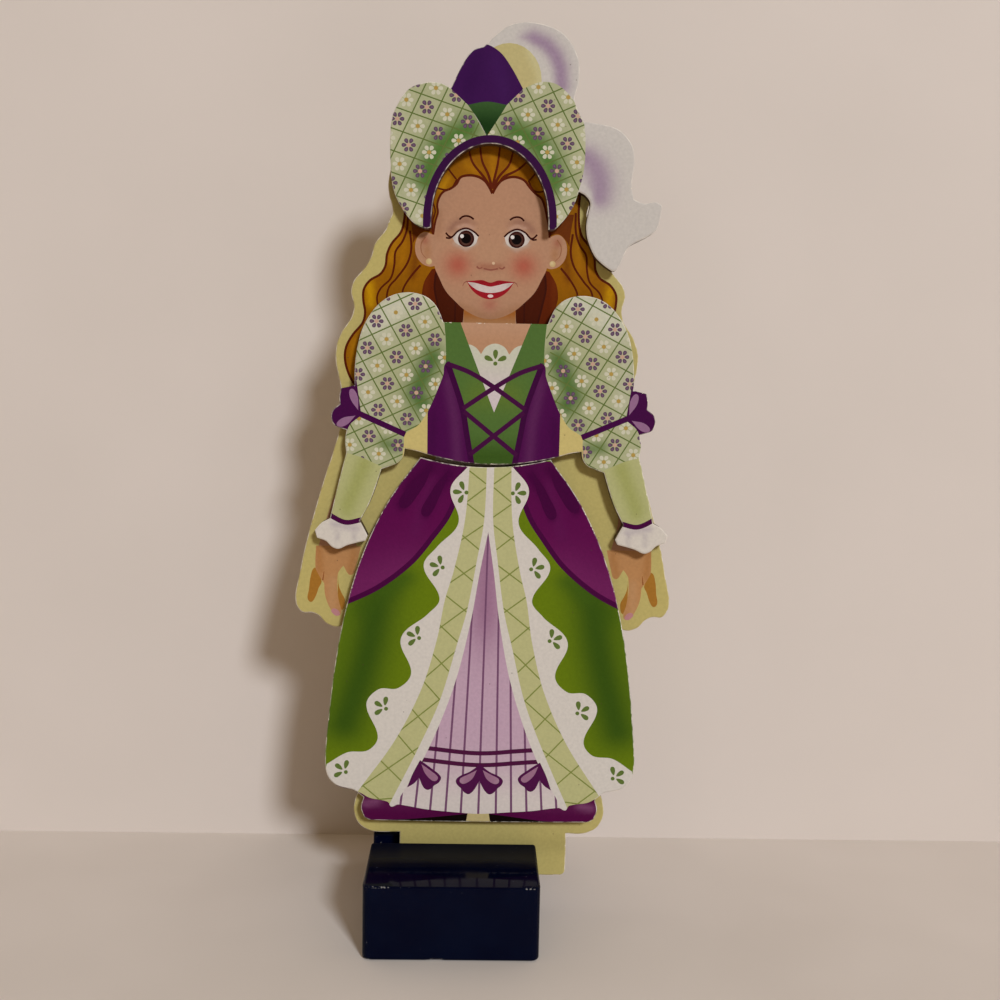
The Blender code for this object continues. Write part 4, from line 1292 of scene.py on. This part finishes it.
def varnished_paper():
    """Offset print under satin varnish: even ink, faint orange peel, dust specks, and a pale rim that is
    rubbed paper and a painted highlight.
    """
    material, tree, shader = fresh("varnished_printed_paper")
    ink = node(tree, "ShaderNodeAttribute", attribute_name="ink")
    mottle = node(tree, "ShaderNodeMapRange", {0: grain(tree, 0.8, 3.0), 1: 0.3, 2: 0.7, 3: 0.95, 4: 1.05})
    inked = node(tree, "ShaderNodeHueSaturation", {"Color": ink, "Value": mottle})
    place = node(tree, "ShaderNodeTexCoord").outputs["Object"]
    specks = node(tree, "ShaderNodeTexVoronoi", {"Vector": place, "Scale": 1 / (SPECK_SPACING * MM)})
    speck = node(tree, "ShaderNodeMapRange", {0: specks, 1: 0.025, 2: 0.045, 3: 0.5, 4: 0.0})
    dusty = node(tree, "ShaderNodeMix", {0: speck, 6: inked, 7: "#4A382C"}, data_type="RGBA").outputs[2]
    edge = node(tree, "ShaderNodeAttribute", attribute_name="edge").outputs["Fac"]
    # The pale line round the rim is rubbed paper and also a painted highlight where the edge catches light
    rim = node(tree, "ShaderNodeMapRange", {0: edge, 1: 0.06, 2: 0.28, 3: 1.0, 4: 0.0})
    wear = node(tree, "ShaderNodeMapRange", {0: grain(tree, 2.4, 4.0), 1: 0.42, 2: 0.6, 3: 0.08, 4: 0.95})
    rim_rub_and_highlight = node(tree, "ShaderNodeMath", {0: rim, 1: wear}, operation="MULTIPLY")
    colour = node(tree, "ShaderNodeMix", {0: rim_rub_and_highlight, 6: dusty, 7: RUBBED_RIM_AND_HIGHLIGHT}, data_type="RGBA").outputs[2]
    varnish = node(tree, "ShaderNodeMapRange", {0: grain(tree, 6.0), 1: 0.35, 2: 0.65, 3: 0.42, 4: 0.56})
    peel = node(tree, "ShaderNodeBump", {"Height": grain(tree, 0.7), "Distance": 0.012 * MM})
    feed(tree, shader,
         {"Base Color": colour, "Roughness": varnish, "Normal": peel, "Specular IOR Level": 0.03})
    return material


def painted_wood(name, colour):
    """Board with one thin coat of cream paint: faint grain, dull, rubbed in places, cut sides scorched."""
    material, tree, shader = fresh(name)
    fibres = grain(tree, 1.2, 5.0, FIBRE_STRETCH)
    thin = node(tree, "ShaderNodeMapRange", {0: fibres, 1: 0.35, 2: 0.7, 3: 0.0, 4: 0.4})
    coat = node(tree, "ShaderNodeMix", {0: thin, 6: colour, 7: "#A9986A"}, data_type="RGBA").outputs[2]
    rubbed = node(tree, "ShaderNodeMapRange", {0: grain(tree, 4.0, 6.0), 1: 0.62, 2: 0.72, 3: 0.0, 4: 0.5})
    face = node(tree, "ShaderNodeMix", {0: rubbed, 6: coat, 7: "#8E7A50"}, data_type="RGBA").outputs[2]
    cut = node(tree, "ShaderNodeAttribute", attribute_name="cut").outputs["Fac"]
    wood = node(tree, "ShaderNodeMix", {0: cut, 6: face, 7: "#4B3522"}, data_type="RGBA").outputs[2]
    dull = node(tree, "ShaderNodeMapRange", {0: fibres, 1: 0.3, 2: 0.7, 3: 0.5, 4: 0.68})
    ridges = node(tree, "ShaderNodeBump", {"Height": fibres, "Distance": 0.04 * MM})
    feed(tree, shader, {"Base Color": wood, "Roughness": dull, "Normal": ridges, "IOR": 1.48})
    return material


def navy_enamel():
    """Brushed gloss enamel on wood: near-black blue, wavy mirror, dull by the slot, primer in its chips."""
    material, tree, shader = fresh("navy_gloss_enamel")
    chip = node(tree, "ShaderNodeAttribute", attribute_name="chip").outputs["Fac"]
    ragged = node(tree, "ShaderNodeMath", {0: grain(tree, 0.5), 1: 2.2, 2: chip}, operation="MULTIPLY_ADD")
    bare = node(tree, "ShaderNodeMapRange", {0: ragged, 1: 1.62, 2: 1.8, 3: 0.0, 4: 1.0})
    cloud = node(tree, "ShaderNodeMapRange", {0: grain(tree, 9.0, 4.0), 1: 0.35, 2: 0.65, 3: 0.0, 4: 1.0})
    navy = node(tree, "ShaderNodeMix", {0: cloud, 6: "#010418", 7: "#02071C"}, data_type="RGBA").outputs[2]
    paint = node(tree, "ShaderNodeMix", {0: bare, 6: navy, 7: "#85817D"}, data_type="RGBA").outputs[2]
    smear = node(tree, "ShaderNodeMapRange", {0: grain(tree, 14.0, 5.0), 1: 0.4, 2: 0.65, 3: 0.05, 4: 0.12})
    rubbed = node(tree, "ShaderNodeAttribute", attribute_name="rubbed").outputs["Fac"]
    dull = node(tree, "ShaderNodeMath", {0: rubbed, 1: 0.7, 2: smear}, operation="MULTIPLY_ADD")
    waves = node(tree, "ShaderNodeBump", {"Height": grain(tree, 4.0), "Distance": 0.003 * MM})
    feed(tree, shader, {"Base Color": paint, "Roughness": dull, "Normal": waves, "Specular IOR Level": 0.065})
    return material


def plated_metal(name, colour, rough):
    """Plated disc: even bright metal with fine rolling marks and a slight haze."""
    material, tree, shader = fresh(name)
    marks = grain(tree, 0.5, 3.0, MARK_STRETCH)
    haze = node(tree, "ShaderNodeMapRange", {0: marks, 1: 0.3, 2: 0.7, 3: 0.0, 4: 0.5})
    plate = node(tree, "ShaderNodeMix", {0: haze, 6: colour, 7: "#8D8A84"}, data_type="RGBA").outputs[2]
    polish = node(tree, "ShaderNodeMapRange", {0: marks, 1: 0.3, 2: 0.7, 3: rough, 4: rough + 0.15})
    ridges = node(tree, "ShaderNodeBump", {"Height": marks, "Distance": 0.005 * MM})
    feed(tree, shader, {"Base Color": plate, "Roughness": polish, "Normal": ridges, "Metallic": 1.0})
    return material


# Camera, light and stage

CAMERA_PLACE = Vector((3.89, -324.11, 149.50))
CAMERA_PITCH = math.radians(6.009)   # downwards
CAMERA_YAW = math.radians(1.272)     # to the right
CAMERA_ROLL = math.radians(1.122)
CAMERA_LENS = 43.2
CAMERA_SENSOR = 36
NEAREST_SEEN = 0.01                  # in metres, and so are the lamp's place and size
KEY_PLACE = Vector((1.32, -3.44, 1.95))
KEY_AIM = Vector((0, 0, 0.12))
KEY_SIZE = 0.64
KEY_POWER = 132.0
ROOM_STRENGTH = 0.31
WALL_DEPTH = 52.6
STAGE_REACH = 900
FLOOR_GAP = 0.1


def look():
    """The camera, where the photograph was taken from."""
    ahead = Vector((math.sin(CAMERA_YAW) * math.cos(CAMERA_PITCH),
                    math.cos(CAMERA_YAW) * math.cos(CAMERA_PITCH), -math.sin(CAMERA_PITCH)))
    level = ahead.cross(Vector((0, 0, 1))).normalized()
    upright = level.cross(ahead)
    across = level * math.cos(CAMERA_ROLL) + upright * math.sin(CAMERA_ROLL)
    up = upright * math.cos(CAMERA_ROLL) - level * math.sin(CAMERA_ROLL)
    data = bpy.data.cameras.new("camera")
    data.sensor_width = CAMERA_SENSOR
    data.lens = CAMERA_LENS
    data.clip_start = NEAREST_SEEN
    camera = bpy.data.objects.new("camera", data)
    turn = Matrix((across, up, -ahead)).transposed().to_4x4()
    camera.matrix_world = Matrix.Translation(CAMERA_PLACE * MM) @ turn
    scene.collection.objects.link(camera)
    scene.camera = camera


def key_lamp():
    """A soft round lamp from the front right."""
    data = bpy.data.lights.new("key", "AREA")
    data.shape = "DISK"
    data.size = KEY_SIZE
    data.energy = KEY_POWER
    data.color = linear("#ECF4FF")
    light = bpy.data.objects.new("key", data)
    light.location = KEY_PLACE
    light.rotation_euler = (KEY_AIM - KEY_PLACE).to_track_quat("-Z", "Y").to_euler()
    scene.collection.objects.link(light)


def plane(name, corners, material):
    """A flat part of the stage, not of the object."""
    mesh = bpy.data.meshes.new(name)
    mesh.from_pydata([Vector(corner) * MM for corner in corners], [], [(0, 1, 2, 3)])
    mesh.materials.append(material)
    made = bpy.data.objects.new(name, mesh)
    scene.collection.objects.link(made)


def stage_paint(name, colour, clear_back):
    """Matt wall paint; clear_back leaves the wall open to a view from behind it."""
    material, tree, shader = fresh(name)
    shade = node(tree, "ShaderNodeMapRange", {0: grain(tree, 60.0), 1: 0.3, 2: 0.7, 3: 0.0, 4: 0.25})
    paint = node(tree, "ShaderNodeMix", {0: shade, 6: colour, 7: "#C4B8AC"}, data_type="RGBA").outputs[2]
    feed(tree, shader, {"Base Color": paint, "Roughness": 0.8})
    if clear_back:
        side = node(tree, "ShaderNodeNewGeometry").outputs["Backfacing"]
        clear = node(tree, "ShaderNodeBsdfTransparent")
        both = node(tree, "ShaderNodeMixShader", {0: side, 1: shader, 2: clear})
        feed(tree, tree.nodes["Material Output"], {"Surface": both})
    return material


def studio():
    """Room light, key lamp, shelf and wall."""
    world = bpy.data.worlds.new("studio")
    scene.world = world
    world.use_nodes = True
    room = world.node_tree
    feed(room, room.nodes["Background"], {"Color": "#FFE5C0", "Strength": ROOM_STRENGTH})
    key_lamp()
    far = STAGE_REACH
    wall = WALL_DEPTH
    low = -FLOOR_GAP
    plane("floor", [(-far, -far, low), (far, -far, low), (far, far, low), (-far, far, low)],
          stage_paint("painted_shelf", "#DED3C9", False))
    plane("wall", [(-far, wall, low), (far, wall, low), (far, wall, far), (-far, wall, far)],
          stage_paint("painted_wall", "#D2C5BA", True))


# Putting it together

def fit(piece, body, slot, *nodes):
    """Rides a piece on its body in the place of the solids it stands for."""
    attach(piece, body)
    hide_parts(*nodes)


scene.view_settings.view_transform = "Standard"
look()
studio()
paper = varnished_paper()
nickel = plated_metal("nickel_plate", "#C9C5BC", 0.2)
clothes_wood = painted_wood("cream_painted_clothes_board", "#D5C9A2")
doll_wood = painted_wood("cream_painted_figure_board", "#CFC291")
flowers = flower_tree(paper)
chips = chip_tree(paper)
discs = magnet_tree(nickel)

fit(enamel_block("stand_enamel_block", navy_enamel()), "stand", "stand_paint", "stand_block")

keepers = [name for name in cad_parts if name.startswith("doll_keeper")]
zinc = plated_metal("zinc_plated_steel", "#A9ABAC", 0.35)
for name in keepers:
    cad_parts[name].data.materials.clear()
    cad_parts[name].data.materials.append(zinc)
figure = doll_print(chips)
fit(figure.press("doll_printed_face", paper), "doll", "doll_ink", "doll_print")
fit(painted_board("doll_painted_board", figure, "doll_board", keepers, doll_wood, False),
    "doll", "doll_wood", "doll_board")

clothes = {"hat": hat_print(flowers, chips), "top": top_print(flowers, chips),
           "skirt": skirt_print(flowers, chips)}
for body, sheet in clothes.items():
    magnets = [f"{body}_magnet_left", f"{body}_magnet_right"]
    fit(sheet.press(f"{body}_printed_face", paper), body, f"{body}_ink", f"{body}_print")
    fit(painted_board(f"{body}_painted_board", sheet, f"{body}_board", magnets, clothes_wood, True),
        body, "clothes_wood", f"{body}_board")
    fit(plated_magnets(f"{body}_plated_magnets", discs, magnets), body, "magnet_nickel", *magnets)
